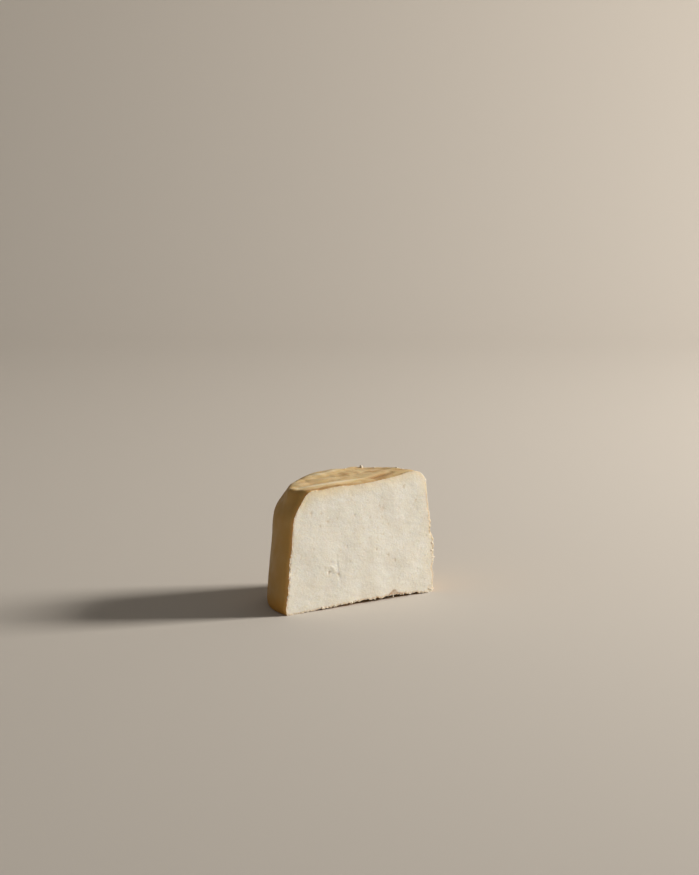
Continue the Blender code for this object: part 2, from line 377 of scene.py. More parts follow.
@dataclass
class RoundCheese:
    """The whole round cheese inside its rind, before the cut."""

    base_radius: float = 50.0 * MM
    height: float = 68.4 * MM
    wall_draft: float = 0.094
    shoulder: LeftRight = (18.5 * MM, 8.6 * MM)
    shoulder_power: float = 2.4
    belly: LeftRight = (0.5 * MM, 1.7 * MM)
    belly_span: float = 58.0 * MM
    foot_in: LeftRight = (1.0 * MM, 2.4 * MM)
    foot_up: LeftRight = (4.0 * MM, 9.0 * MM)
    top_slope: float = 0.055
    cells: int = 94  # along each edge of the cube that the cheese is shaped from
    shoulder_share: float = 0.34  # of the cells from top to base
    foot_share: float = 0.08
    wall_wave: float = 0.35 * MM
    wall_wave_size: float = 26.0 * MM
    wall_ripple: float = 0.09 * MM
    wall_ripple_size: Triple = (9.0 * MM, 9.0 * MM, 3.6 * MM)
    top_wave: float = 0.4 * MM
    top_wave_size: Triple = (24.0 * MM, 7.0 * MM, 50.0 * MM)
    pleat: float = 0.22 * MM
    pleat_size: Triple = (13.0 * MM, 2.6 * MM, 50.0 * MM)
    top_relief: Pair = (0.15, 0.8)  # how far the rind faces up where the top's relief starts and is full
    crimp: float = 0.3 * MM  # short creases towards the far edge of the top
    crimp_size: Triple = (5.0 * MM, 10.0 * MM, 50.0 * MM)
    crimp_from: Pair = (5.0 * MM, 25.0 * MM)  # how far back they start, and are full
    folds: tuple[Ridge, ...] = ridges(
        (-41, 7.8, -20, 3.5, 9, 2.4, 1.4, 1.6),
        (28, -6.5, 34, -5.5, 40, -7, 0.5, 2.4),
        (-12, -5, 8, -6, 28, -7, -1.3, 4.2),
        (-29, 12, -18, 11.5, -5, 9, -0.6, 2.6),
        (8.5, 0.5, 17, 2.8, 28, 4.8, -1.0, 2.4),
        (19, 10, 28, 9.3, 36, 6, 0.5, 2.0),
        (32.4, 21.5, 34.9, 15.5, 36.2, 9, 0.42, 1.5),
        (-18, 28, -2, 28.5, 22, 33, 0.8, 3.4),
        (-20, 27.5, -9, 22.5, 5, 15, -0.7, 2.6),
        (-20, 20, -8, 16, 4, 10, 0.5, 2.6),
        (8, 33, 16, 38, 22, 46, -0.6, 2.4),
        (8, 36, 23, 25, 33, 14, -1.0, 4.5),
    )
    lips: tuple[Ridge, ...] = ridges(
        (-22, 25, -37.2, 10.5, -30, -6, 2.2, 2.8),
        (-24, 19, -36.0, 9.5, -30, -5, 1.5, 5.0),
        (-32.5, 13.5, -36, 9, -37.4, 2.5, 1.0, 2.0),
        (-34, -16, -35.5, -7, -35, 1, 0.6, 3.4),
    )  # the lip round the left of the top, which has the colour of what it lies on
    # stripes of darker orange brown on the top, partly the rind's own stains and partly painted shade, along
    # the slope down to the cut and on fold sides that face away from the light
    stains_and_shade: tuple[Ridge, ...] = stripes(
        (-36, -2.5, -20, -1.2, 1, -3.6, 0.85, 2.1),
        (0, -4.2, 8, -4.2, 16, -3.5, 0.35, 1.6),
        (-36, -3, -30, -2, -20, -3, 0.5, 1.6),
        (-16, -3, -13, -2, -9, -3, 0.5, 1.3),
        (6, 0, 15.5, 2.6, 28, 4.8, 0.95, 2.4),
        (10.5, -3, 18, -1.2, 27, 1.5, 0.7, 2.2),
        (-15, 23, -8, 20, -1, 17, 0.4, 1.6),
        (1, 17, 5, 19.5, 10, 20.5, 0.6, 3.6),
        (-30, 20, -24, 17, -12, 14, 0.5, 3.2),
        (15, 17, 22, 14.5, 30, 13, 0.75, 3.0),
        (27, 19, 30, 17.5, 33, 15, 0.6, 1.8),
        (28, 9, 33, 6, 38, 2, 0.6, 1.8),
    )
    # where the rind faces sideways it takes the wall's darker, more orange tone, partly its own colour and
    # partly painted shade of the side turned from the light
    wall_tone: Pair = (0.86, 0.96)  # the wall's tone ends where the rind faces up this much
    wall_tone_sway: float = 0.04
    wall_tone_sway_size: float = 6.0 * MM
    flat_turn: Pair = (0.955, 0.995)  # and never reaches the flat of the top
    corner_darkening: float = 0.8  # strength of the dark foot beside the cut
    corner_darkening_size: Pair = (4.5 * MM, 5.0 * MM)  # its height and its reach
    chips_right: tuple[Row, ...] = in_mm(
        (50.0, 6.0, -0.5),
        (41.0, 4.0, -0.4),
        (34.5, 2.6, -1.2),
        (27.0, 5.5, 0.7),
        (13.5, 2.4, -1.1),
        (5.5, 3.0, -0.7),
    )  # where the right edge of the cut chipped or stands out: height, half height and way out
    chips_left: tuple[Row, ...] = in_mm(
        (60.0, 7.0, -0.9),
        (48.0, 6.0, -0.5),
        (37.0, 7.0, -0.9),
        (25.0, 6.0, -0.5),
        (14.0, 7.0, -0.7),
    )
    chip_reach: float = 3.0 * MM
    near_wall: Pair = (0.6, 0.8)  # shares of the base radius where the wall's own forms start and are full
    bulge: float = 0.9 * MM  # the wall stands out below the flattened shoulder at the back left
    bulge_angle: Pair = (math.radians(147), math.radians(24))  # middle and half width
    bulge_height: Pair = (50.0 * MM, 8.0 * MM)
    flat_depth: float = 1.9 * MM  # and the shoulder above it is flattened
    flat_height: Pair = (62.5 * MM, 6.0 * MM)
    lift: float = 1.45 * MM  # how far the lower edge of the cut arches off the surface below
    lift_half_length: float = 46.0 * MM
    lift_depth: float = 9.0 * MM
    lift_skew: float = 0.8
    lift_ragged: float = 0.45
    lift_ragged_size: float = 2.4 * MM
    base_within: float = 0.01 * MM  # what is lower than this belongs to the underside
    fine_band: float = 3.5 * MM  # the rind is divided once more within this distance of the cut

    def round_rim(self, pair: LeftRight, angle: Array, power: float = 1.0) -> Array:
        """A size that goes smoothly round the cheese from its left value to its right one.

        Args:
            pair: The size at the left and at the right.
            angle: Angles round the axis, from +X.
            power: How soon the left size turns into the right one.

        Returns:
            One size for each angle.
        """
        left, right = pair
        return right + (left - right) * ((1 - np.cos(angle)) / 2) ** power

    def wall_radius(self, height: Array, angle: Array) -> Array:
        """Radius of the wall at each height and angle, with its draft and its slight belly."""
        swell = np.sin(np.pi * np.clip(height / self.belly_span, 0.0, 1.0))
        return self.base_radius - self.wall_draft * height + self.round_rim(self.belly, angle) * swell

    def shoulder_ring(self, angle: Array) -> tuple[Array, Array, Array]:
        """Rounding of the top edge.

        Args:
            angle: Angles round the axis.

        Returns:
            Radius of the rounding, and the radius and height at which it is centred.
        """
        shoulder = self.round_rim(self.shoulder, angle, self.shoulder_power)
        wall_top = self.height - shoulder
        return shoulder, self.wall_radius(wall_top, angle) - shoulder, wall_top

    def profile(self, angle: Array, down: Array) -> tuple[Array, Array, Array]:
        """The outline from the edge of the flat top, over the shoulder and the wall, to the base.

        Args:
            angle: Angles round the axis.
            down: How far down the outline, from 0 to 1.

        Returns:
            Radius, height, and the turn of the surface: a quarter turn on the top, 0 on the wall and a
            quarter turn the other way at the base.
        """
        shoulder, centre, wall_top = self.shoulder_ring(angle)
        foot_in, foot_up = self.round_rim(self.foot_in, angle), self.round_rim(self.foot_up, angle)
        wall_share = 1 - self.shoulder_share - self.foot_share
        over = np.clip(down / self.shoulder_share, 0.0, 1.0)
        along = np.clip((down - self.shoulder_share) / wall_share, 0.0, 1.0)
        under = np.clip((down - 1 + self.foot_share) / self.foot_share, 0.0, 1.0)
        turn = math.pi / 2 * (1 - over - under)
        wall_height = wall_top + (foot_up - wall_top) * along
        radius = np.where(over < 1, centre + shoulder * np.cos(turn), self.wall_radius(wall_height, angle))
        height = np.where(over < 1, wall_top + shoulder * np.sin(turn), wall_height)
        foot_radius = self.wall_radius(foot_up, angle) - foot_in * (1 - np.cos(turn))
        radius = np.where(under > 0, foot_radius, radius)
        height = np.where(under > 0, foot_up * (1 + np.sin(turn)), height)
        return radius, np.where(under >= 1, 0.0, height), turn

    def on_top(self, turn: Array) -> Array:
        """How much of the top's relief there is at each turn of the surface, from 0 to 1."""
        return smooth_step(np.sin(turn), *self.top_relief)

    def fold_relief(self, points: Array) -> Array:
        """Sum of the cloth folds, the small pleats and the creases on the top.

        Args:
            points: Points of the rind, one row each.

        Returns:
            One height for each point.
        """
        total = sum_at(points[:, :2], self.folds)
        far = smooth_step(points[:, 1], *self.crimp_from)
        total += self.crimp * far * soft_noise(points, self.crimp_size, Wave.CRIMP)
        return total + self.pleat * soft_noise(points, self.pleat_size, Wave.PLEAT)

    def relief(self, points: Array, turn: Array) -> Array:
        """How far the rind stands out from the plain drum.

        Args:
            points: Points of the plain drum, one row each.
            turn: The turn of the surface at each point.

        Returns:
            One height for each point.
        """
        wall = self.wall_wave * soft_noise(points, self.wall_wave_size, Wave.WALL)
        wall += self.wall_ripple * soft_noise(points, self.wall_ripple_size, Wave.WALL_RIPPLE)
        top = self.fold_relief(points) + self.top_wave * soft_noise(points, self.top_wave_size, Wave.TOP)
        top += sum_at(points[:, :2], self.lips)
        return wall + top * self.on_top(turn) + self.back_shoulder(points) + self.chipped_edge(points)

    def chipped_edge(self, points: Array) -> Array:
        """How far the wall stands out or back along the upright edges of the cut.

        Args:
            points: Points of the plain drum, one row each.

        Returns:
            One height for each point.
        """
        total = np.zeros(len(points))
        for chips, side in ((self.chips_right, 1.0), (self.chips_left, -1.0)):
            out = sum(way * bell(points[:, 2], height, half) for height, half, way in chips)
            total += out * (side * points[:, 0] > self.near_wall[0] * self.base_radius)
        behind = (points[:, 1] / self.chip_reach + 1.0).clip(0.0)
        return total * bell(behind, 0.0, 1.0)

    def back_shoulder(self, points: Array) -> Array:
        # stripes of stain and painted shade on the top, and the darker foot corner
        """The bulge of the wall and the flat above it, at the back left shoulder.

        Args:
            points: Points of the plain drum, one row each.

        Returns:
            One height for each point.
        """
        x, y, z = points.T
        out = self.bulge * bell(z, *self.bulge_height) - self.flat_depth * bell(z, *self.flat_height)
        from_radius, full_radius = (share * self.base_radius for share in self.near_wall)
        outside = smooth_step(np.hypot(x, y), from_radius, full_radius)
        return out * bell(np.arctan2(y, x), *self.bulge_angle) * outside

    def edge_lift(self, points: Array, cut_from_axis: float) -> Array:
        """How far the underside is lifted near the lower edge of the cut.

        Args:
            points: Points of the underside, one row each.
            cut_from_axis: How far in front of the axis the cut goes.

        Returns:
            One height for each point.
        """
        along = np.clip(points[:, 0] / self.lift_half_length, -1.0, 1.0)
        taper = (1 - np.abs(along) ** 3) * (1 + self.lift_skew * along)
        away = (points[:, 1] + cut_from_axis) / (self.lift_depth * np.sqrt(taper.clip(1e-6)))
        ragged = 1 + self.lift_ragged * soft_noise(points, self.lift_ragged_size, Wave.LIFT)
        return self.lift * taper * ragged * np.sqrt((1 - away**2).clip(0.0))

    def darker_corner(self, points: Array) -> Array:
        """Strength of the darker tone at the foot of the left wall beside the cut.

        Args:
            points: Points of the rind, one row each.

        Returns:
            One strength for each point.
        """
        high, reach = self.corner_darkening_size
        low = self.corner_darkening * bell(points[:, 2], 0.0, high)
        return low * bell((points[:, 1] / reach + 1.0).clip(0.0), 0.0, 1.0) * (points[:, 0] < 0)

    def turn_at(self, points: Array) -> Array:
        """How far the surface has turned from the wall, 0, to the top, a quarter turn.

        Args:
            points: Points of the rind, one row each.

        Returns:
            One turn for each point.
        """
        _, ring, wall_top = self.shoulder_ring(np.arctan2(points[:, 1], points[:, 0]))
        above = points[:, 2] / (1 + self.top_slope * points[:, 0] / self.height) - wall_top
        out = np.hypot(points[:, 0], points[:, 1]) - ring
        return np.where(out <= 0, math.pi / 2, np.arctan2(above.clip(0.0), out.clip(1e-9))) * (above > 0)

    def shape(self, cube: Array) -> tuple[Array, Array, Array]:
        """Turns points of a cube into points of the plain drum.

        Args:
            cube: Points on a cube from -1 to 1, one row each.

        Returns:
            The points, the way that the surface faces there, and its turn.
        """
        x, y, z = cube.T
        across, along = x * np.sqrt(1 - y * y / 2), y * np.sqrt(1 - x * x / 2)
        angle, reach = np.arctan2(along, across), np.hypot(across, along)
        radius, height, turn = self.profile(angle, (1 - z) / 2)
        around = np.stack([np.cos(angle), np.sin(angle), np.zeros_like(angle)], axis=1)
        points, facing = around * (radius * reach)[:, None], around * np.cos(turn)[:, None]
        points[:, 2], facing[:, 2] = height, np.sin(turn)
        return points, facing, turn

    def build(self, cut_from_axis: float) -> Piece:
        """Shapes the cheese from a finely divided cube.

        Args:
            cut_from_axis: How far in front of the axis the cut will go.

        Returns:
            The closed round cheese.
        """
        bpy.ops.mesh.primitive_cube_add(size=2.0)
        body = bpy.context.object
        body.name = "round_cheese"
        with editing(body):
            bpy.ops.mesh.select_all(action="SELECT")
            bpy.ops.mesh.subdivide(number_cuts=self.cells - 1)
        plain = self.shape(read_points(body))[0]
        near_cut = np.abs(plain[:, 1] + cut_from_axis) < self.fine_band
        choose(body, Element.FACE, near_cut[read_values(body.data.polygons, "vertices", 4)].all(axis=1))
        with editing(body):
            bpy.ops.mesh.subdivide(number_cuts=1)
        points, facing, turn = self.shape(read_points(body))
        above_foot = smooth_step(points[:, 2], 0.0, min(self.foot_up))
        lifted = np.where(points[:, 2] < self.base_within, self.edge_lift(points, cut_from_axis), 0.0)
        points += facing * (self.relief(points, turn) * above_foot)[:, None]
        points[:, 2] = points[:, 2] * (1 + self.top_slope * points[:, 0] / self.height) + lifted
        write_points(body, points)
        return body


@dataclass
class TornCut:
    """What the knife takes away: a block whose rear face carries the relief of the torn paste."""

    from_axis: float = 4.2 * MM
    width: float = 107.0 * MM
    low: float = -3.0 * MM
    high: float = 74.0 * MM
    thickness: float = 60.0 * MM
    cell: float = 0.4 * MM
    wave: float = 0.45 * MM
    wave_size: float = 16.0 * MM
    lump: float = 0.075 * MM
    lump_size: Triple = (5.0 * MM, 3.4 * MM, 2.6 * MM)
    crumb: float = 0.065 * MM
    crumb_size: float = 1.3 * MM
    grain: float = 0.06 * MM
    grain_size: float = 0.8 * MM
    wander: float = 0.5 * MM  # how far the outline of a pit wanders from a circle
    wander_size: float = 1.7 * MM
    small_pits: int = 120
    # brown of the small pits, partly painted shade
    small_pit_brown: float = 0.32
    small_pit_radius: Pair = (0.3 * MM, 0.6 * MM)
    small_pit_depth: Pair = (0.02 * MM, 0.07 * MM)
    seed: int = 11
    pits: tuple[Pit, ...] = torn_pits(
        (-21.5, 20.5, 0.9, 0.36, 0.7),
        (-15.5, 18.6, 0.9, 0.14, 0.5),
        (-21.5, 17.7, 0.55, 0.10, 0.4),
        (9.9, 29.4, 0.85, 0.18, 0.6),
        (18.1, 25.3, 0.75, 0.13, 0.5),
        (22.6, 21.9, 0.8, 0.13, 0.5),
        (14.3, 52.1, 1.6, 0.10, 0.35),
        (11.9, 53.6, 0.6, 0.10, 0.4),
        (-22.4, 48.8, 1.0, 0.12, 0.6),
        (-4.9, 50.6, 0.7, 0.12, 0.45),
        (5.5, 48.0, 0.6, 0.10, 0.35),
        (18.1, 43.1, 0.75, 0.13, 0.45),
        (-27.3, 46.9, 0.7, 0.10, 0.5),
        (-26.6, 53.7, 0.7, 0.08, 0.5),
        (-33.2, 54.8, 0.9, 0.12, 0.7),
        (-9.5, 33.3, 0.6, 0.10, 0.35),
        (-7.5, 24.9, 0.6, 0.10, 0.35),
        (36.5, 54.3, 0.6, 0.10, 0.4),
        (28.6, 63.1, 1.1, 0.08, 0.6),
        (-12.2, 63.2, 0.5, 0.08, 0.4),
        (-32.2, 40.8, 0.55, 0.10, 0.35),
        (-31.6, 34.7, 0.5, 0.08, 0.35),
        (21.8, 4.2, 1.0, 0.15, 0.0),
        (47.0, 64.0, 9.0, -0.2, 0.0),  # a swelling towards the top right corner
    )
    tears: tuple[Ridge, ...] = ridges(
        (-16.5, 30.5, -15.6, 21.5, -13.5, 12.7, -0.10, 0.7),
        (-23.5, 23.0, -19.5, 23.4, -17.6, 19.2, 0.20, 0.8),
    )

    def broad_relief(self, flat: Array) -> Array:
        """The widest waves of the face, at points of its plane."""
        return self.wave * soft_noise(flat, self.wave_size, Wave.CUT)

    def relief(self, across: Array, up: Array) -> Array:
        """How far the paste stands out from the plane of the cut. Hollows are below 0.

        Args:
            across: Places across the face.
            up: Places up the face.

        Returns:
            One height for each place.
        """
        flat = np.stack([across, np.zeros_like(across), up], axis=1)
        out = self.broad_relief(flat) + self.lump * soft_noise(flat, self.lump_size, Wave.CUT_LUMP)
        places = self.wandered(flat)
        for pit in self.pits + self.scattered_pits():
            out -= pit.depth * self.share_in(pit, places)
        return out + sum_at(places, self.tears)

    def wandered(self, points: Array) -> Array:
        """Places across and up the face, shifted a little so that no pit is quite round.

        Args:
            points: Points of the face, one row each.

        Returns:
            One place for each point.
        """
        sideways = points[:, 0] + self.wander * soft_noise(points, self.wander_size, Wave.PIT_ACROSS)
        upwards = points[:, 2] + self.wander * soft_noise(points, self.wander_size, Wave.PIT_UP)
        return np.stack([sideways, upwards], axis=1)

    def share_in(self, pit: Pit, places: Array) -> Array:
        """How far inside a pit each place lies: 1 in its middle and 0 well outside."""
        return bell(np.linalg.norm(places - (pit.across, pit.up), axis=1), 0.0, pit.radius)

    def brown_at(self, points: Array) -> Array:
        """How brown the pits make the paste: partly their own colour, partly painted shade.

        Args:
            points: Points of the face, one row each.

        Returns:
            One share from 0 to 1 for each point.
        """
        places = self.wandered(points * [1, 0, 1])
        pits = self.pits + self.scattered_pits()
        return sum(pit.brown * self.share_in(pit, places) for pit in pits).clip(0.0, 1.0)

    def scattered_pits(self) -> tuple[Pit, ...]:
        """Small pits all over the face, where the knife pulled single crumbs out.

        Returns:
            The same pits each time.
        """
        rng = random.Random(self.seed)
        found = []
        for _ in range(self.small_pits):
            across, up = rng.uniform(-0.5, 0.5) * self.width, rng.uniform(self.low, self.high)
            radius, depth = rng.uniform(*self.small_pit_radius), rng.uniform(*self.small_pit_depth)
            found.append(Pit(across, up, radius, depth, self.small_pit_brown))
        return tuple(found)

    def roughen(self, block: Piece, tear: Tear, size: float, depth: float, group: str) -> None:
        """Moves the torn face in and out by a texture.

        Args:
            block: The knife's block.
            tear: Round crumbs or grain.
            size: Size of one crumb or grain.
            depth: How far the face moves.
            group: The vertex group that moves.
        """
        texture = bpy.data.textures.new(f"{tear.lower()}_{group}", tear)
        texture.noise_scale = size
        if tear == Tear.GRAIN:
            texture.noise_depth = 2
        push = block.modifiers.new(texture.name, "DISPLACE")
        push.texture = texture
        push.texture_coords = "LOCAL"
        push.direction = "Y"
        push.mid_level = 0.5
        push.strength = depth
        push.vertex_group = group
        apply_modifier(block, push.name)

    def build(self) -> Piece:
        """Shapes the block from a fine grid that stands upright.

        Returns:
            The closed block.
        """
        columns, rows = round(self.width / self.cell), round((self.high - self.low) / self.cell)
        bpy.ops.mesh.primitive_grid_add(x_subdivisions=columns, y_subdivisions=rows, size=1.0)
        block = bpy.context.object
        block.name = "knife"
        flat = read_points(block)
        across = flat[:, 0] * self.width
        up = self.low + (flat[:, 1] + 0.5) * (self.high - self.low)
        write_points(block, np.stack([across, -self.from_axis - self.relief(across, up), up], axis=1))
        torn = block.vertex_groups.new(name="torn")
        torn.add(list(range(len(flat))), 1.0, "REPLACE")
        self.roughen(block, Tear.CRUMBS, self.crumb_size, self.crumb, torn.name)
        self.roughen(block, Tear.GRAIN, self.grain_size, self.grain, torn.name)
        self.close(block)
        return block

    def close(self, block: Piece) -> None:
        """Extrudes the rim of the torn face forwards and closes the block with one flat face.

        Args:
            block: The knife's block, which is only its torn face yet.
        """
        with editing(block, Element.EDGE):
            bpy.ops.mesh.select_all(action="SELECT")
            bpy.ops.mesh.region_to_loop()
            bpy.ops.mesh.extrude_edges_move(TRANSFORM_OT_translate={"value": (0.0, -self.thickness, 0.0)})
            bpy.ops.transform.resize(value=(1.0, 0.0, 1.0), center_override=(0.0, -self.thickness, 0.0))
            bpy.ops.mesh.edge_face_add()
        only_triangles(block)


@dataclass
class Crumbs:
    """Crumbs and flakes that stand proud of the cheese."""

    uneven: Pair = (0.72, 1.2)
    uneven_size: float = 0.8  # of a crumb's half size
    uneven_from: Pair = (0.0, 50.0)  # where a crumb reads its unevenness
    reach: float = 1.25  # how far round a crumb its look reaches, in half sizes
    seed: int = 7
    large: tuple[Crumb, ...] = proud_crumbs(
        (23, 29, 69.3, 0.9, 0.8, 1.2, 0.3),
        (47.4, -4.0, 2.3, 2.0, 0.6, 1.3, 0.4),
        (43.4, -3.7, 65.2, 1.2, 0.7, 0.5, 0.5),
        (49.3, -3.9, 20.0, 1.5, 0.4, 0.45, -0.1),
        (48.6, -4.0, 28.4, 1.0, 0.4, 0.4, 0.5),
        (48.8, -4.0, 24.0, 1.1, 0.4, 0.5, 0.2),
        (35.6, 6.5, 70.3, 0.6, 0.5, 0.45, 0.2),
        (35.5, 11.7, 70.0, 0.9, 0.7, 0.6, 0.4),
        (28.8, 24.5, 69.0, 0.8, 0.6, 0.5, 0.1),
        (13.5, 31.1, 68.8, 0.7, 0.6, 0.55, -0.3),
    )
    hanging: Row = (-26.0, -17.9, -6.4, -4.4, 9.0, 21.6, 33.0)  # places along the lower edge, in mm
    hanging_size: Pair = (0.35 * MM, 0.6 * MM)
    hanging_stretch: Pair = (1.0, 1.6)  # their width as a share of their size
    hanging_flat: float = 0.8  # and their height
    hanging_turn: Pair = (-0.6, 0.6)
    hanging_rise: Pair = (0.1, 0.6)  # how far up they sit, as a share of their size
    hanging_height: float = 1.4 * MM  # of the arch of the lower edge
    hanging_half_length: float = 50.0  # in mm
    hanging_from_axis: float = 4.4 * MM

    def build(self) -> Piece:
        """Shapes each crumb from a sphere, and joins them into one object.

        Returns:
            All the crumbs.
        """
        rng = random.Random(self.seed)
        made = [self.lump(crumb, rng) for crumb in self.large + self.lower_row()]
        bpy.ops.object.select_all(action="DESELECT")
        for piece in made:
            piece.select_set(True)
        bpy.context.view_layer.objects.active = made[0]
        bpy.ops.object.join()
        made[0].name = "crumbs"
        return made[0]

    def lower_row(self) -> tuple[Crumb, ...]:
        """Small crumbs that hang from the lower edge of the cut, more loosely towards its middle.

        Returns:
            The same crumbs each time.
        """
        rng = random.Random(self.seed + 1)
        found = []
        for across in self.hanging:
            size = rng.uniform(*self.hanging_size)
            arch = self.hanging_height * (1 - (abs(across) / self.hanging_half_length) ** 3)
            place = (across * MM, -self.hanging_from_axis, arch + size * rng.uniform(*self.hanging_rise))
            half_size = (size * rng.uniform(*self.hanging_stretch), size, size * self.hanging_flat)
            found.append(Crumb(place, half_size, rng.uniform(*self.hanging_turn)))
        return tuple(found)

    def covers(self, points: Array) -> Array:
        """Which points lie on one of the crumbs.

        Args:
            points: Points of the cut cheese, one row each.

        Returns:
            One truth value for each point.
        """
        found = np.zeros(len(points), bool)
        for crumb in self.large + self.lower_row():
            found |= np.linalg.norm(points - crumb.place, axis=1) < self.reach * max(crumb.half_size)
        return found

    def lump(self, crumb: Crumb, rng: random.Random) -> Piece:
        """Shapes one uneven lump of a few hundred faces.

        Args:
            crumb: Its place, size and turn.
            rng: Where its unevenness is drawn.

        Returns:
            The lump.
        """
        bpy.ops.mesh.primitive_ico_sphere_add(subdivisions=3, radius=1.0)
        piece = bpy.context.object
        points = read_points(piece)
        low, high = self.uneven
        swell = soft_noise(points + rng.uniform(*self.uneven_from), self.uneven_size, Wave.LUMP)
        points *= ((low + high) / 2 + swell * (high - low))[:, None]
        points *= crumb.half_size
        write_points(piece, points @ np.array(Matrix.Rotation(-crumb.turn, 3, "Y")) + crumb.place)
        return piece


@dataclass
class Unwrap:
    """The flat map of the piece on one square: the wall in the lower row, and the rest in the upper one."""

    side: float = 166.0 * MM
    gap: float = 1.0 * MM
    wall_radius: float = 47.0 * MM
    half_width: float = 50.5 * MM
    upper_row: float = 70.0 * MM
    top_depth: float = 52.0 * MM
    underside_up: float = 92.0 * MM  # above the upper row
    underside_scale: float = 0.5
    underside_facing: float = -0.7  # a face that faces down this much lies on the underside

    def kinds(self, piece: Piece, cheese: RoundCheese) -> list[Array]:
        """Sorts the piece's corners by the part of the map they go to.

        Args:
            piece: The cut cheese, round the axis of the whole cheese.
            cheese: The forms that tell top from wall.

        Returns:
            Which corners lie on the cut face, on the top and on the underside. The others lie on the wall.
        """
        faces = piece.data.polygons
        centres = read_values(faces, "center", 3, np.float32).astype(float)
        _, ring, wall_top = cheese.shoulder_ring(np.arctan2(centres[:, 1], centres[:, 0]))
        out = np.hypot(centres[:, 0], centres[:, 1]) - ring
        paste = read_values(faces, "material_index") == Skin.PASTE
        top = ~paste & (centres[:, 2] - wall_top > out)
        facing_up = read_values(faces, "normal", 3, np.float32)[:, 2]
        below = ~paste & ~top & (facing_up < self.underside_facing)
        sizes = read_values(faces, "loop_total")
        return [np.repeat(kind, sizes) for kind in (paste, top, below)]

    def write(self, piece: Piece, cheese: RoundCheese) -> None:
        """Gives the piece its map.

        Args:
            piece: The cut cheese, round the axis of the whole cheese.
            cheese: The forms that tell top from wall.
        """
        x, y, z = read_points(piece)[read_values(piece.data.loops, "vertex_index")].T
        kinds = self.kinds(piece, cheese)
        half, level, scale = self.half_width, self.upper_row, self.underside_scale
        beside = 2 * (self.gap + half)
        across = [self.gap + half + x, beside + self.top_depth - y, beside + self.gap + (half + x) * scale]
        up = [level + z, level + half + x, level + self.underside_up + y * scale]
        around = self.side / 2 + np.arctan2(x, y) * self.wall_radius
        flat = np.stack([np.select(kinds, across, around), np.select(kinds, up, self.gap + z)], axis=1)
        layer = piece.data.uv_layers.new(name="OFBake")
        layer.data.foreach_set("uv", (flat / self.side).astype(np.float32).ravel())


# Materials.


@dataclass
class Graph:
    """Adds nodes to one node tree and links them."""

    tree: Tree

    def plug(self, node: Node, inputs: Inputs) -> None:
        """Feeds a node's sockets.

        Args:
            node: The node.
            inputs: What goes into each socket.
        """
        for name, value in inputs.items():
            if isinstance(value, Socket):
                self.tree.links.new(value, node.inputs[name])
            else:
                node.inputs[name].default_value = value

    def add(self, kind: str, inputs: Inputs | None = None, **settings: object) -> Node:
        """Adds one node.

        Args:
            kind: The node's type.
            inputs: What goes into each socket.
            settings: The node's own settings.

        Returns:
            The node.
        """
        node = self.tree.nodes.new(kind)
        for name, value in settings.items():
            setattr(node, name, value)
        self.plug(node, inputs or {})
        return node

    def maths(self, operation: str, *values: object) -> Socket:
        """The result of one sum on numbers or sockets."""
        return self.add("ShaderNodeMath", dict(enumerate(values)), operation=operation).outputs[0]

    def times(self, first: object, second: object) -> Socket:
        """The product of two numbers or sockets."""
        return self.maths("MULTIPLY", first, second)

    def mix(self, share: object, first: object, second: object) -> Socket:
        """A mix of two colours by a share."""
        return self.add("ShaderNodeMix", {"Factor": share, 6: first, 7: second}, data_type="RGBA").outputs[2]

    def ramp(self, value: object, low: object, high: object, start: float = 0.0, end: float = 1.0) -> Socket:
        """A smooth step of a value between two bounds, from start to end."""
        inputs = {"Value": value, 1: low, 2: high, 3: start, 4: end}
        return self.add("ShaderNodeMapRange", inputs, interpolation_type="SMOOTHSTEP").outputs[0]

    def stretched(self, place: object, scale: Triple) -> Socket:
        """Coordinates with another scale along each axis."""
        return self.add("ShaderNodeMapping", {"Vector": place, "Scale": scale}).outputs[0]

    def cloud(self, place: object, scale: object, detail: float = 3.0) -> Socket:
        """Soft noise from 0 to 1."""
        inputs = {"Vector": place, "Scale": scale, "Detail": detail}
        return self.add("ShaderNodeTexNoise", inputs).outputs["Fac"]

    def bump(self, height: Socket, depth: float, strength: float) -> Socket:
        """The normal of a surface that a height makes uneven."""
        inputs = {"Height": height, "Distance": depth, "Strength": strength}
        return self.add("ShaderNodeBump", inputs).outputs["Normal"]

    def value_of(self, name: str) -> Socket:
        """A number that the mesh stores for each vertex."""
        return self.add("ShaderNodeAttribute", attribute_name=name).outputs["Fac"]


@dataclass
class Group:
    """A shader node group with named inputs and outputs."""

    name: str
    inputs: dict[str, str]
    outputs: dict[str, str]
    tree: Tree = field(init=False)
    graph: Graph = field(init=False)
    source: Node = field(init=False)

    def __post_init__(self) -> None:
        """Makes the empty group and its sockets."""
        self.tree = bpy.data.node_groups.new(self.name, "ShaderNodeTree")
        self.graph = Graph(self.tree)
        for in_out, sockets in (("INPUT", self.inputs), ("OUTPUT", self.outputs)):
            for name, kind in sockets.items():
                self.tree.interface.new_socket(name, in_out=in_out, socket_type=f"NodeSocket{kind}")
        self.source = self.graph.add("NodeGroupInput")

    def close(self, **results: Socket) -> Tree:
        """Links the results to the group's outputs."""
        self.graph.add("NodeGroupOutput", results)
        return self.tree


@dataclass(frozen=True)
class Patches:
    """Soft patches: their size, the noise at which one starts and is full, and how strongly they show."""

    size: float
    start: float
    full: float
    share: float = 1.0


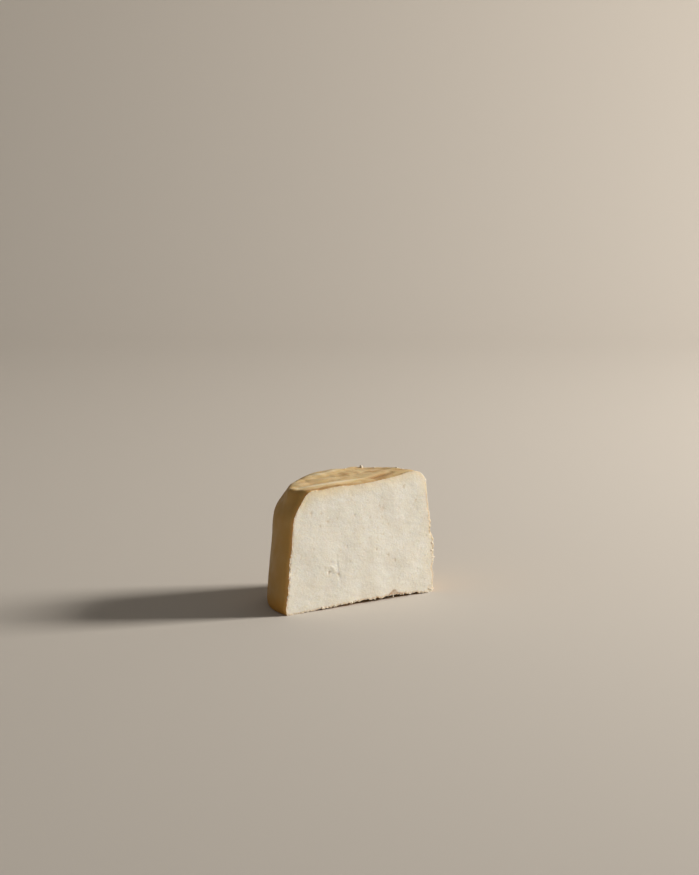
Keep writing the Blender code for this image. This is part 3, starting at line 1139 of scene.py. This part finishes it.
@dataclass
class Effects:
    """The node groups that the finishes use, built once."""

    tones: tuple[str, ...] = ("Crest", "Pale", "Middle", "Dark", "Wall", "Foot", "Speck")
    broad: Patches = Patches(13.0 * MM, 0.40, 0.66, 0.5)
    streak: Patches = Patches(2.6 * MM, 0.42, 0.68, 0.4)
    streak_scale: Triple = (0.28, 1.0, 0.6)
    blot: Patches = Patches(4.5 * MM, 0.52, 0.74, 0.45)
    speck: Patches = Patches(0.9 * MM, 0.66, 0.74, 0.35)
    # paler on the crests and darker in the creases of the folds: partly the rind's tone, partly painted
    # highlight and painted shade
    crest_highlight_steps: Steps = (0.2, 1.1, 0.0, 0.9)
    crease_shade_steps: Steps = (0.1, 1.1, 0.0, 0.38)
    stain_and_shade_steps: Pair = (0.1, 1.0)
    paler_side: Pair = (-25.0 * MM, 15.0 * MM)  # the wall turns paler to the right, between these places: painted light on its lit side, painted shade on its left
    paler_share: float = 0.6
    wall_patch_share: float = 0.25
    foot_steps: Steps = (-2.0 * MM, 10.0 * MM, 0.75, 0.0)
    foot_right: float = 0.45  # what is left of the dark foot at the right
    foot_ragged: float = -4.0 * MM
    finer: float = 2.3  # how much finer the grain between the crumbs is
    crumb_share: float = 0.7
    patches: Tree = field(init=False)
    grain: Tree = field(init=False)
    rind_tone: Tree = field(init=False)

    def __post_init__(self) -> None:
        """Builds the groups."""
        self.patches = self.make_patches()
        self.grain = self.make_grain()
        self.rind_tone = self.make_rind_tone()

    def make_patches(self) -> Tree:
        """Soft patches: a mask from noise of one size, between a low and a high bound.

        Returns:
            The group.
        """
        sockets = {"Place": "Vector", "Size": "Float", "Low": "Float", "High": "Float"}
        group = Group("patches", sockets, {"Mask": "Float"})
        graph, source = group.graph, group.source.outputs
        cloud = graph.cloud(source["Place"], graph.maths("DIVIDE", 1.0, source["Size"]))
        return group.close(Mask=graph.ramp(cloud, source["Low"], source["High"]))

    def make_grain(self) -> Tree:
        """Grain: a height from small rounded crumbs and the finer noise on and between them.

        Returns:
            The group.
        """
        group = Group("grain", {"Place": "Vector", "Size": "Float"}, {"Height": "Float"})
        graph, source = group.graph, group.source.outputs
        place, scale = source["Place"], graph.maths("DIVIDE", 1.0, source["Size"])
        cells = graph.add("ShaderNodeTexVoronoi", {"Vector": place, "Scale": scale}, feature="SMOOTH_F1")
        fine = graph.cloud(place, graph.times(scale, self.finer), 4.0)
        crumbs = graph.times(cells.outputs["Distance"], self.crumb_share)
        return group.close(Height=graph.maths("SUBTRACT", fine, crumbs))

    def make_rind_tone(self) -> Tree:
        """Colour of smoked rind: pale on ridges and orange brown in creases, partly its own tone and partly
        painted highlight and painted shade, with soft patches and smoke specks.

        Returns:
            The group.
        """
        values, tones = dict.fromkeys(("Fold", "Stain_and_shade", "Side"), "Float"), dict.fromkeys(self.tones, "Color")
        group = Group("rind_tone", {"Place": "Vector", **values, **tones}, {"Color": "Color"})
        graph, source = group.graph, group.source.outputs
        place, fold = source["Place"], source["Fold"]
        broad, blot, speck = (self.patch(graph, place, kind) for kind in (self.broad, self.blot, self.speck))
        streak = self.patch(graph, graph.stretched(place, self.streak_scale), self.streak)
        colour = graph.mix(graph.times(broad, self.broad.share), source["Middle"], source["Pale"])
        colour = graph.mix(graph.times(streak, self.streak.share), colour, source["Pale"])
        colour = graph.mix(graph.times(blot, self.blot.share), colour, source["Dark"])
        # painted highlight on the fold crests and painted shade in the creases, partly the rind's own tone
        colour = graph.mix(graph.ramp(fold, *self.crest_highlight_steps), colour, source["Crest"])
        colour = graph.mix(graph.ramp(graph.times(fold, -1.0), *self.crease_shade_steps), colour, source["Dark"])
        across, _, height = graph.add("ShaderNodeSeparateXYZ", {"Vector": place}).outputs
        paler = graph.times(graph.ramp(across, *self.paler_side), self.paler_share)
        share = graph.maths("ADD", graph.times(broad, self.wall_patch_share), paler)
        # the wall's tone where the rind faces sideways, partly painted shade, paler to the right where the
        # light falls
        colour = graph.mix(source["Side"], colour, graph.mix(share, source["Wall"], source["Middle"]))
        # stripes of stain and painted shade on the top
        colour = graph.mix(graph.ramp(source["Stain_and_shade"], *self.stain_and_shade_steps), colour, source["Dark"])
        ragged = graph.maths("ADD", height, graph.times(broad, self.foot_ragged))
        less = graph.ramp(across, *self.paler_side, 1.0, self.foot_right)
        colour = graph.mix(graph.times(graph.ramp(ragged, *self.foot_steps), less), colour, source["Foot"])
        return group.close(Color=graph.mix(graph.times(speck, self.speck.share), colour, source["Speck"]))

    def patch(self, graph: Graph, place: object, kind: Patches) -> Socket:
        """Places the group of soft patches, and gives its mask."""
        inputs = {"Place": place, "Size": kind.size, "Low": kind.start, "High": kind.full}
        return graph.add("ShaderNodeGroup", inputs, node_tree=self.patches).outputs["Mask"]

    def grain_height(self, graph: Graph, place: object, size: float) -> Socket:
        """Places the group of grain, and gives its height."""
        inputs = {"Place": place, "Size": size}
        return graph.add("ShaderNodeGroup", inputs, node_tree=self.grain).outputs["Height"]


@dataclass(frozen=True)
class RindColours:
    """The tones of the smoked rind."""

    # the pale crest tone is partly a painted highlight
    crest: Colour = (0.78, 0.67, 0.47, 1.0)
    pale: Colour = (0.79, 0.62, 0.37, 1.0)
    middle: Colour = (0.68, 0.48, 0.225, 1.0)
    dark: Colour = (0.47, 0.26, 0.10, 1.0)
    # the wall's tone, darker and more orange, is partly painted shade
    wall: Colour = (0.62, 0.36, 0.105, 1.0)
    # a bright orange painted glow on the wall beside the cut, where light shines through the thin rind
    edge: Colour = (0.93, 0.53, 0.16, 1.0)
    foot: Colour = (0.66, 0.30, 0.03, 1.0)
    speck: Colour = (0.34, 0.20, 0.09, 1.0)

    def tone(self, graph: Graph, effects: Effects, place: object, values: dict[str, Socket]) -> Socket:
        """Places the group of rind tones with these colours, and values for Fold, Stain and Side."""
        inputs = {"Place": place, **values, **{name: getattr(self, name.lower()) for name in effects.tones}}
        return graph.add("ShaderNodeGroup", inputs, node_tree=effects.rind_tone).outputs["Color"]


def new_finish(name: str) -> tuple[Material, Graph, Node, Socket]:
    """Makes an empty material.

    Args:
        name: The material's name.

    Returns:
        The material, its graph, its shader and its coordinates.
    """
    material = bpy.data.materials.new(name)
    material.use_nodes = True
    graph = Graph(material.node_tree)
    shader = material.node_tree.nodes["Principled BSDF"]
    return material, graph, shader, graph.add("ShaderNodeTexCoord").outputs["Object"]


@dataclass(frozen=True)
class SmokedRind:
    """Thin smooth smoked rind, satin from its fat."""

    colours: RindColours = RindColours()
    edge_width: Pair = (0.0, 3.8)  # the rind has another tone this close to the cut, in mm: painted shade on the top and a painted glow on the wall
    edge_share: Pair = (0.15, 0.9)  # on the top, where it is darker as painted shade, and on the wall, where it glows orange as painted light
    satin: Patches = Patches(5.0 * MM, 0.35, 0.65)
    roughness: Pair = (0.46, 0.62)
    skin_size: float = 1.1 * MM
    skin_depth: float = 0.10 * MM
    skin_strength: float = 0.5
    shine: float = 0.2
    glow: float = 0.18
    glow_reach: float = 1.6 * MM
    glow_tint: Triple = (1.0, 0.55, 0.25)

    def material(self, effects: Effects) -> Material:
        """Makes the rind's material.

        Args:
            effects: The node groups.

        Returns:
            The material.
        """
        material, graph, shader, place = new_finish("smoked_rind")
        stored = {name.capitalize(): graph.value_of(name) for name in ("fold", "stain_and_shade", "side")}
        beside = graph.ramp(graph.value_of("beside_cut"), *self.edge_width, 1.0, 0.0)
        above = graph.times(graph.maths("SUBTRACT", 1.0, stored["Side"]), self.edge_share[0])
        aside = graph.times(stored["Side"], self.edge_share[1])
        tone = self.colours.tone(graph, effects, place, stored)
        # painted shade on the top beside the cut
        tone = graph.mix(graph.times(beside, above), tone, self.colours.dark)
        skin = effects.grain_height(graph, place, self.skin_size)
        satin = effects.patch(graph, place, self.satin)
        graph.plug(shader, {
            # painted glow on the wall beside the cut
            "Base Color": graph.mix(graph.times(beside, aside), tone, self.colours.edge),
            "Roughness": graph.ramp(satin, 0.0, 1.0, *self.roughness),
            "Normal": graph.bump(skin, self.skin_depth, self.skin_strength),
            "Specular IOR Level": self.shine,
            "Subsurface Weight": self.glow,
            "Subsurface Radius": self.glow_tint,
            "Subsurface Scale": self.glow_reach,
        })
        return material


@dataclass(frozen=True)
class GoatPaste:
    """White crumbly paste, matt and a little translucent, with the rind's cut edge round it."""

    white: Colour = (0.803, 0.786, 0.714, 1.0)
    cream: Colour = (0.775, 0.743, 0.655, 1.0)
    hollow: Colour = (0.66, 0.54, 0.38, 1.0)
    near_rind: Colour = (0.77, 0.635, 0.395, 1.0)
    rim: Colour = (0.60, 0.44, 0.27, 1.0)
    scar: Colour = (0.48, 0.33, 0.22, 1.0)
    cloudy: Patches = Patches(9.0 * MM, 0.35, 0.68)
    curd: Patches = Patches(0.9 * MM, 0.45, 0.75, 0.75)
    fleck: Patches = Patches(1.0 * MM, 0.5, 0.78, 0.32)
    hollow_shade_steps: Steps = (0.14, 0.6, 0.0, 0.75)  # depth of a hollow in mm, and the share of its painted shade
    tint_steps: Steps = (-0.6, 8.0, 1.0, 0.0)  # way to the rind in mm, and the share of its tint
    tint_ragged: float = 1.6  # in mm
    tint_ragged_size: float = 1.6 * MM
    rim_steps: Steps = (0.0, 1.5, 0.7, 0.0)  # the same for the line beside the rind
    rim_sway: float = 0.35
    drawn: Triple = (0.42, 1.0, 1.0)  # the knife drew the grain out sideways
    grain_size: float = 0.55 * MM
    grain_depth: float = 0.16 * MM
    grain_strength: float = 0.48
    roughness: float = 0.85
    shine: float = 0.3
    glow: float = 0.45
    glow_reach: float = 1.5 * MM
    glow_tint: Triple = (1.0, 0.85, 0.6)

    def material(self, effects: Effects) -> Material:
        """Makes the paste's material.

        Args:
            effects: The node groups.

        Returns:
            The material.
        """
        material, graph, shader, place = new_finish("goat_paste")
        drawn = graph.stretched(place, self.drawn)
        grain = effects.grain_height(graph, drawn, self.grain_size)
        graph.plug(shader, {
            "Base Color": self.colour(graph, effects, place, drawn),
            "Roughness": self.roughness,
            "Normal": graph.bump(grain, self.grain_depth, self.grain_strength),
            "Specular IOR Level": self.shine,
            "Subsurface Weight": self.glow,
            "Subsurface Radius": self.glow_tint,
            "Subsurface Scale": self.glow_reach,
        })
        return material

    def colour(self, graph: Graph, effects: Effects, place: Socket, drawn: Socket) -> Socket:
        """White paste, creamier in patches, creamier and darker in its hollows as painted shade, brown in its
        pits partly as painted shade, and yellow to brown where it meets the rind.

        Args:
            graph: The material's graph.
            effects: The node groups.
            place: The coordinates.
            drawn: The coordinates, drawn out sideways.

        Returns:
            The colour.
        """
        curd = graph.times(effects.patch(graph, drawn, self.curd), self.curd.share)
        fleck = graph.times(effects.patch(graph, place, self.fleck), self.fleck.share)
        colour = graph.mix(effects.patch(graph, place, self.cloudy), self.white, self.cream)
        colour = graph.mix(curd, colour, self.cream)
        colour = graph.mix(fleck, colour, self.hollow)
        # painted shade in the hollows of the torn face
        sunk = graph.times(graph.value_of("crumb"), -1.0)
        colour = graph.mix(graph.ramp(sunk, *self.hollow_shade_steps), colour, self.hollow)
        # brown in the pits, partly painted shade
        colour = graph.mix(graph.value_of("brown"), colour, self.hollow)
        torn = graph.maths("SUBTRACT", graph.cloud(place, 1 / self.tint_ragged_size), 0.5)
        sway = graph.times(torn, self.tint_ragged)
        below = graph.value_of("below_rind")
        tint = graph.ramp(graph.maths("ADD", below, sway), *self.tint_steps)
        colour = graph.mix(graph.times(tint, graph.value_of("rim_tint")), colour, self.near_rind)
        line = graph.ramp(graph.maths("ADD", below, graph.times(sway, self.rim_sway)), *self.rim_steps)
        colour = graph.mix(graph.times(line, graph.value_of("rim_line")), colour, self.rim)
        return graph.mix(graph.value_of("scar"), colour, self.scar)


# The whole piece and its surroundings.


@dataclass
class CutCheese:
    """The cut piece: the round cheese less the knife's block, with its crumbs, frayed rim and finishes."""

    finishes: list[Material]
    cheese: RoundCheese = field(default_factory=RoundCheese)
    cut: TornCut = field(default_factory=TornCut)
    crumbs: Crumbs = field(default_factory=Crumbs)
    unwrap: Unwrap = field(default_factory=Unwrap)
    fray: float = 0.14 * MM
    fray_left: float = 0.42 * MM
    fray_left_heights: Pair = (31.5 * MM, 45.0 * MM)  # full below the first, and none above the second
    fray_right: float = 0.45 * MM
    fray_right_heights: Pair = (14.0 * MM, 52.0 * MM)
    fray_below: float = 0.36 * MM
    fray_below_height: float = 3.0 * MM
    fray_size: float = 1.05 * MM
    fray_reach: float = 0.9 * MM
    fray_band: float = 3.5 * MM  # points this near the cut may fray
    broad_fray: float = 0.6  # share of the broad waves
    broad_fray_times: float = 3.0  # and how much longer they are
    reach_times: float = 3.0  # the fray ends this many times its reach away
    edge_band: float = 6.0 * MM  # rind this near the cut knows its way to it
    no_edge: float = 9.0  # the way that the rest stores, in mm
    tint_all: float = 0.08
    tint_above: float = 0.42
    tint_above_heights: Pair = (55.0 * MM, 62.0 * MM)
    tint_left: float = 0.25
    tint_left_from: Pair = (5.0 * MM, 15.0 * MM)
    tint_right: float = 0.22
    tint_right_from: float = 40.0 * MM
    tint_right_height: Pair = (30.0 * MM, 20.0 * MM)  # middle and half
    crumb_brown: float = 0.4
    line_above: float = 0.4  # the line beside the rind keeps this share of its strength along the top
    line_heights: Pair = (55.0 * MM, 64.0 * MM)
    scars: tuple[Ridge, ...] = stripes(
        (19.0, 2.4, 22.3, 4.4, 24.2, 3.2, 0.9, 0.6),
        (18.2, 2.1, 21.6, 2.9, 25.4, 2.2, 0.75, 0.8),
        (24.0, 3.4, 26.5, 2.2, 30.0, 1.7, 0.7, 0.7),
        (-6, 1.0, 6, 1.4, 17, 1.8, 0.5, 0.9),
        (24, 1.6, 30, 1.4, 37, 1.0, 0.3, 0.7),
    )

    def build(self) -> Piece:
        """Makes the finished piece at its place.

        Returns:
            The piece.
        """
        body = self.cheese.build(self.cut.from_axis)
        only_triangles(body)
        self.give_slots(body, Skin.RIND)
        LOG.info("round cheese: %d triangles", len(body.data.polygons))
        knife = self.cut.build()
        self.give_slots(knife, Skin.PASTE)
        LOG.info("knife: %d triangles", len(knife.data.polygons))
        combine(body, knife, Change.TAKE_AWAY)
        crumbs = self.crumbs.build()
        self.give_slots(crumbs, Skin.PASTE)
        combine(body, crumbs, Change.ADD)
        only_triangles(body)
        LOG.info("cut cheese: %d triangles", len(body.data.polygons))
        body.name = body.data.name = "cut_goat_cheese"
        rim = self.rim_edges(body)
        self.fray_rim(body, rim)
        self.store_values(body, rim)
        self.unwrap.write(body, self.cheese)
        self.shade(body, rim)
        write_points(body, read_points(body) + AXIS_PLACE)
        return body

    def give_slots(self, piece: Piece, skin: Skin) -> None:
        """Gives a piece both finishes, and all its faces one of them.

        Args:
            piece: The object.
            skin: The finish of its faces.
        """
        for finish in self.finishes:
            piece.data.materials.append(finish)
        faces = piece.data.polygons
        faces.foreach_set("material_index", np.full(len(faces), int(skin), np.int32))

    def skin_of_corners(self, body: Piece) -> Array:
        """The skin that each corner of the piece's faces belongs to."""
        faces = body.data.polygons
        return np.repeat(read_values(faces, "material_index"), read_values(faces, "loop_total"))

    def rim_edges(self, body: Piece) -> Array:
        """Finds the edges between the rind and the paste.

        Args:
            body: The cut cheese.

        Returns:
            One truth value for each edge.
        """
        edges, skins = read_values(body.data.loops, "edge_index"), self.skin_of_corners(body)
        counts = [np.bincount(edges[skins == skin], minlength=len(body.data.edges)) for skin in Skin]
        return (counts[Skin.RIND] > 0) & (counts[Skin.PASTE] > 0)

    def rim_tree(self, body: Piece, rim: Array, points: Array) -> kdtree.KDTree:
        """Makes a search tree of the vertices on the rim of the cut.

        Args:
            body: The cut cheese.
            rim: Which of its edges are on the rim.
            points: Its vertices' places.

        Returns:
            The tree.
        """
        chosen = np.unique(read_values(body.data.edges, "vertices", 2)[rim])
        tree = kdtree.KDTree(len(chosen))
        for index in chosen.tolist():
            tree.insert(points[index], index)
        tree.balance()
        return tree

    def fray_amount(self, places: Array) -> Array:
        """How far the rim frays: most where it crumbled at the right, low at the left, and along the foot.

        Args:
            places: Places near the rim, one row each.

        Returns:
            One length for each place.
        """
        x, z = places[:, 0], places[:, 2]
        low, high = self.fray_right_heights
        crumbled = (x > 0) * bell(z, (low + high) / 2, (high - low) / 2, 4)
        full, none = self.fray_left_heights
        torn_left = (x < 0) * smooth_step(-z, -none, -full)
        amount = np.maximum(self.fray, self.fray_right * crumbled)
        amount = np.maximum(amount, self.fray_below * (z < self.fray_below_height))
        return np.maximum(amount, self.fray_left * torn_left)

    def fray_rim(self, body: Piece, rim: Array) -> None:
        """Makes the rim of the cut uneven.

        Args:
            body: The cut cheese.
            rim: Which of its edges are on the rim.
        """
        points = read_points(body)
        tree = self.rim_tree(body, rim, points)
        near = np.flatnonzero(np.abs(points[:, 1] + self.cut.from_axis) < self.fray_band)
        gaps = np.array([tree.find(place)[2] for place in points[near].tolist()])
        within = gaps < self.reach_times * self.fray_reach
        near, gaps = near[within], gaps[within]
        places = points[near]
        waves = ((self.fray_size, Wave.FRAY), (self.broad_fray_times * self.fray_size, Wave.BROAD_FRAY))
        fine, broad = (
            np.stack([soft_noise(places, size, first + axis) for axis in range(3)], axis=1)
            for size, first in waves
        )
        amount = self.fray_amount(places) * bell(gaps, 0.0, self.fray_reach)
        points[near] += (fine + self.broad_fray * broad) * amount[:, None]
        points[:, 2] = points[:, 2].clip(0.0)
        write_points(body, points)

    def store_values(self, body: Piece, rim: Array) -> None:
        """Stores what the finishes read.

        Args:
            body: The cut cheese.
            rim: Which of its edges are on the rim.
        """
        points = read_points(body)
        tree = self.rim_tree(body, rim, points)
        values = self.rind_values(body, points, tree) | self.paste_values(body, points, tree)
        for name, numbers in values.items():
            write_values(body, name, numbers)

    def rind_values(self, body: Piece, points: Array, tree: kdtree.KDTree) -> dict[str, Array]:
        """The folds of the rind, its stripes of stain and painted shade, how far it takes the wall's partly
        shaded tone, and its way to the cut in mm.

        Args:
            body: The cut cheese.
            points: Its vertices' places.
            tree: The vertices on the rim of the cut.

        Returns:
            One number for each vertex under each name.
        """
        cheese = self.cheese
        turn = cheese.turn_at(points)
        on_top = cheese.on_top(turn)
        sway = cheese.wall_tone_sway * soft_noise(points, cheese.wall_tone_sway_size, Wave.TONE)
        upwards = read_values(body.data.vertex_normals, "vector", 3, np.float32)[:, 2] + sway
        off_flat = 1 - smooth_step(np.sin(turn), *cheese.flat_turn)
        beside = np.full(len(points), self.no_edge)
        near = (np.abs(points[:, 1] + self.cut.from_axis) < self.edge_band) & (points[:, 0] < 0)
        beside[near] = [tree.find(place)[2] / MM for place in points[near].tolist()]
        return {
            "fold": cheese.fold_relief(points) * on_top / MM,
            "stain_and_shade": sum_at(points[:, :2], cheese.stains_and_shade) * on_top + cheese.darker_corner(points),
            # where the wall's tone goes, partly painted shade
            "side": off_flat * (1 - smooth_step(upwards, *cheese.wall_tone)),
            # way to the cut, for the painted shade and glow beside it
            "beside_cut": beside,
        }

    def paste_values(self, body: Piece, points: Array, tree: kdtree.KDTree) -> dict[str, Array]:
        """The relief of the paste, the brown of its pits, which is partly painted shade, its scars, its way
        to the rind in mm, and how the rind tints it.

        Args:
            body: The cut cheese.
            points: Its vertices' places.
            tree: The vertices on the rim of the cut.

        Returns:
            One number for each vertex under each name, 0 on the rind.
        """
        of_rind = np.zeros(len(points), bool)
        corners = read_values(body.data.loops, "vertex_index")
        of_rind[corners[self.skin_of_corners(body) == Skin.RIND]] = True
        paste = points[~of_rind]
        found = [tree.find(place) for place in paste.tolist()]
        fainter = (1 - self.line_above) * smooth_step(paste[:, 2], *self.line_heights)
        values = {
            "crumb": (-paste[:, 1] - self.cut.from_axis - self.cut.broad_relief(paste * [1, 0, 1])) / MM,
            "rim_tint": self.tint_beside(np.array([place for place, _, _ in found])),
            "rim_line": 1 - fainter,
            "scar": sum_at(paste[:, [0, 2]], self.scars),
            "brown": self.cut.brown_at(paste),
            "below_rind": np.array([gap / MM for _, _, gap in found]),
        }
        loose = self.crumbs.covers(points)
        on_crumbs = {"crumb": 0.0, "rim_tint": 0.0, "rim_line": 0.0, "scar": 0.0, "brown": self.crumb_brown}
        for name, numbers in values.items():
            values[name] = np.zeros(len(points))
            values[name][~of_rind] = numbers
            if name in on_crumbs:
                values[name][loose] = on_crumbs[name]
        return values

    def tint_beside(self, rim: Array) -> Array:
        """How strongly the rind tints the paste beside each place on the rim.

        Args:
            rim: Places on the rim of the cut, one row each.

        Returns:
            One share for each place.
        """
        across, up = rim[:, 0], rim[:, 2]
        above = smooth_step(up, *self.tint_above_heights)
        upper_left = above * smooth_step(-across, *self.tint_left_from)
        middle_right = (across > self.tint_right_from) * bell(up, *self.tint_right_height, 4)
        tint = self.tint_all + self.tint_above * above
        return tint + self.tint_left * upper_left + self.tint_right * middle_right

    def shade(self, body: Piece, rim: Array) -> None:
        """Shades the piece smooth, with the rim of the cut sharp.

        Args:
            body: The cut cheese.
            rim: Which of its edges are on the rim.
        """
        select_alone(body)
        bpy.ops.object.shade_smooth()
        choose(body, Element.EDGE, rim)
        with editing(body, Element.EDGE):
            bpy.ops.mesh.mark_sharp()


@dataclass(frozen=True)
class SoftLight:
    """A square light: the way to it from the object, its distance, width, power and colour."""

    name: str
    way: Triple
    distance: float
    width: float
    power: float
    colour: Triple

    def build(self) -> None:
        """Adds the light, turned to the object."""
        place = Vector(self.way).normalized() * self.distance
        bpy.ops.object.light_add(type="AREA", location=place)
        light = bpy.context.object
        light.name = self.name
        light.rotation_euler = place.to_track_quat("Z", "Y").to_euler()
        light.data.shape = "SQUARE"
        light.data.size = self.width
        light.data.energy = self.power
        light.data.color = self.colour


@dataclass
class Studio:
    """Plain pale floor that curves up behind the object, soft light and the camera."""

    camera_place: Triple = (-0.7092, -1.0413, 0.3049)
    camera_way: Triple = (0.56008, 0.81111, -0.16865)
    lens: float = 94.63
    sensor: float = 36.0
    turn: float = math.radians(-34.617)  # the floor is square to the camera
    floor_width: float = 6.0
    floor_front: float = -2.5
    floor_back: float = 1.6
    wall_height: float = 2.0
    curve: float = 0.5
    curve_steps: int = 24
    floor_colour: Colour = (0.56, 0.52, 0.47, 1.0)
    floor_roughness: float = 0.9
    surround: Colour = (1.0, 0.96, 0.90, 1.0)
    surround_strength: float = 0.15
    key: SoftLight = SoftLight("key", (0.83, -0.36, 0.43), 2.2, 0.56, 74.0, (1.0, 0.95, 0.88))

    def build(self) -> None:
        """Adds the floor, the light, the surround and the camera."""
        self.build_floor()
        self.key.build()
        self.build_surround()
        self.build_camera()

    def build_surround(self) -> None:
        """Adds the faint light from all round, and shows colours as they are."""
        world = bpy.data.worlds.new("surround")
        world.use_nodes = True
        background = world.node_tree.nodes["Background"]
        background.inputs["Color"].default_value = self.surround
        background.inputs["Strength"].default_value = self.surround_strength
        bpy.context.scene.world = world
        bpy.context.scene.view_settings.view_transform = "Standard"

    def build_floor(self) -> None:
        """Shapes the floor from a plane, whose far edge is extruded up and rounded."""
        bpy.ops.mesh.primitive_plane_add(size=2.0)
        floor = bpy.context.object
        floor.name = "floor"
        points = read_points(floor)
        points[:, 0] *= self.floor_width / 2
        points[:, 1] = np.where(points[:, 1] > 0, self.floor_back, self.floor_front)
        write_points(floor, points)
        choose(floor, Element.EDGE, self.edges_at(floor, 1, self.floor_back))
        with editing(floor, Element.EDGE):
            bpy.ops.mesh.extrude_edges_move(TRANSFORM_OT_translate={"value": (0.0, 0.0, self.wall_height)})
        corner = self.edges_at(floor, 1, self.floor_back) & self.edges_at(floor, 2, 0.0)
        choose(floor, Element.EDGE, corner)
        with editing(floor, Element.EDGE):
            bpy.ops.mesh.bevel(offset=self.curve, segments=self.curve_steps, affect="EDGES")
        floor.data.transform(Matrix.Rotation(self.turn, 4, "Z"))
        select_alone(floor)
        bpy.ops.object.shade_smooth()
        material, graph, shader, _ = new_finish("plain_floor")
        graph.plug(shader, {"Base Color": self.floor_colour, "Roughness": self.floor_roughness})
        floor.data.materials.append(material)

    def edges_at(self, floor: Piece, axis: int, place: float) -> Array:
        """Which edges of the floor have both ends at a place on an axis."""
        ends = read_points(floor)[read_values(floor.data.edges, "vertices", 2), axis]
        return np.isclose(ends, place, rtol=0.0, atol=1e-5).all(axis=1)

    def build_camera(self) -> None:
        """Adds the camera at its viewing angle."""
        bpy.ops.object.camera_add(location=self.camera_place)
        camera = bpy.context.object
        camera.name = "camera"
        camera.rotation_euler = Vector(self.camera_way).to_track_quat("-Z", "Y").to_euler()
        camera.data.sensor_width = self.sensor
        camera.data.lens = self.lens
        bpy.context.scene.camera = camera


def main() -> None:
    """Loads the frame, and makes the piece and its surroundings."""
    logging.basicConfig(level=logging.INFO, format="%(message)s")
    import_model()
    effects = Effects()
    piece = CutCheese([SmokedRind().material(effects), GoatPaste().material(effects)]).build()
    LOG.info("%s: %d vertices", piece.name, len(piece.data.vertices))
    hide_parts("goat_cheese")
    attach(piece, "root")
    Studio().build()


if __name__ == "__main__":
    main()
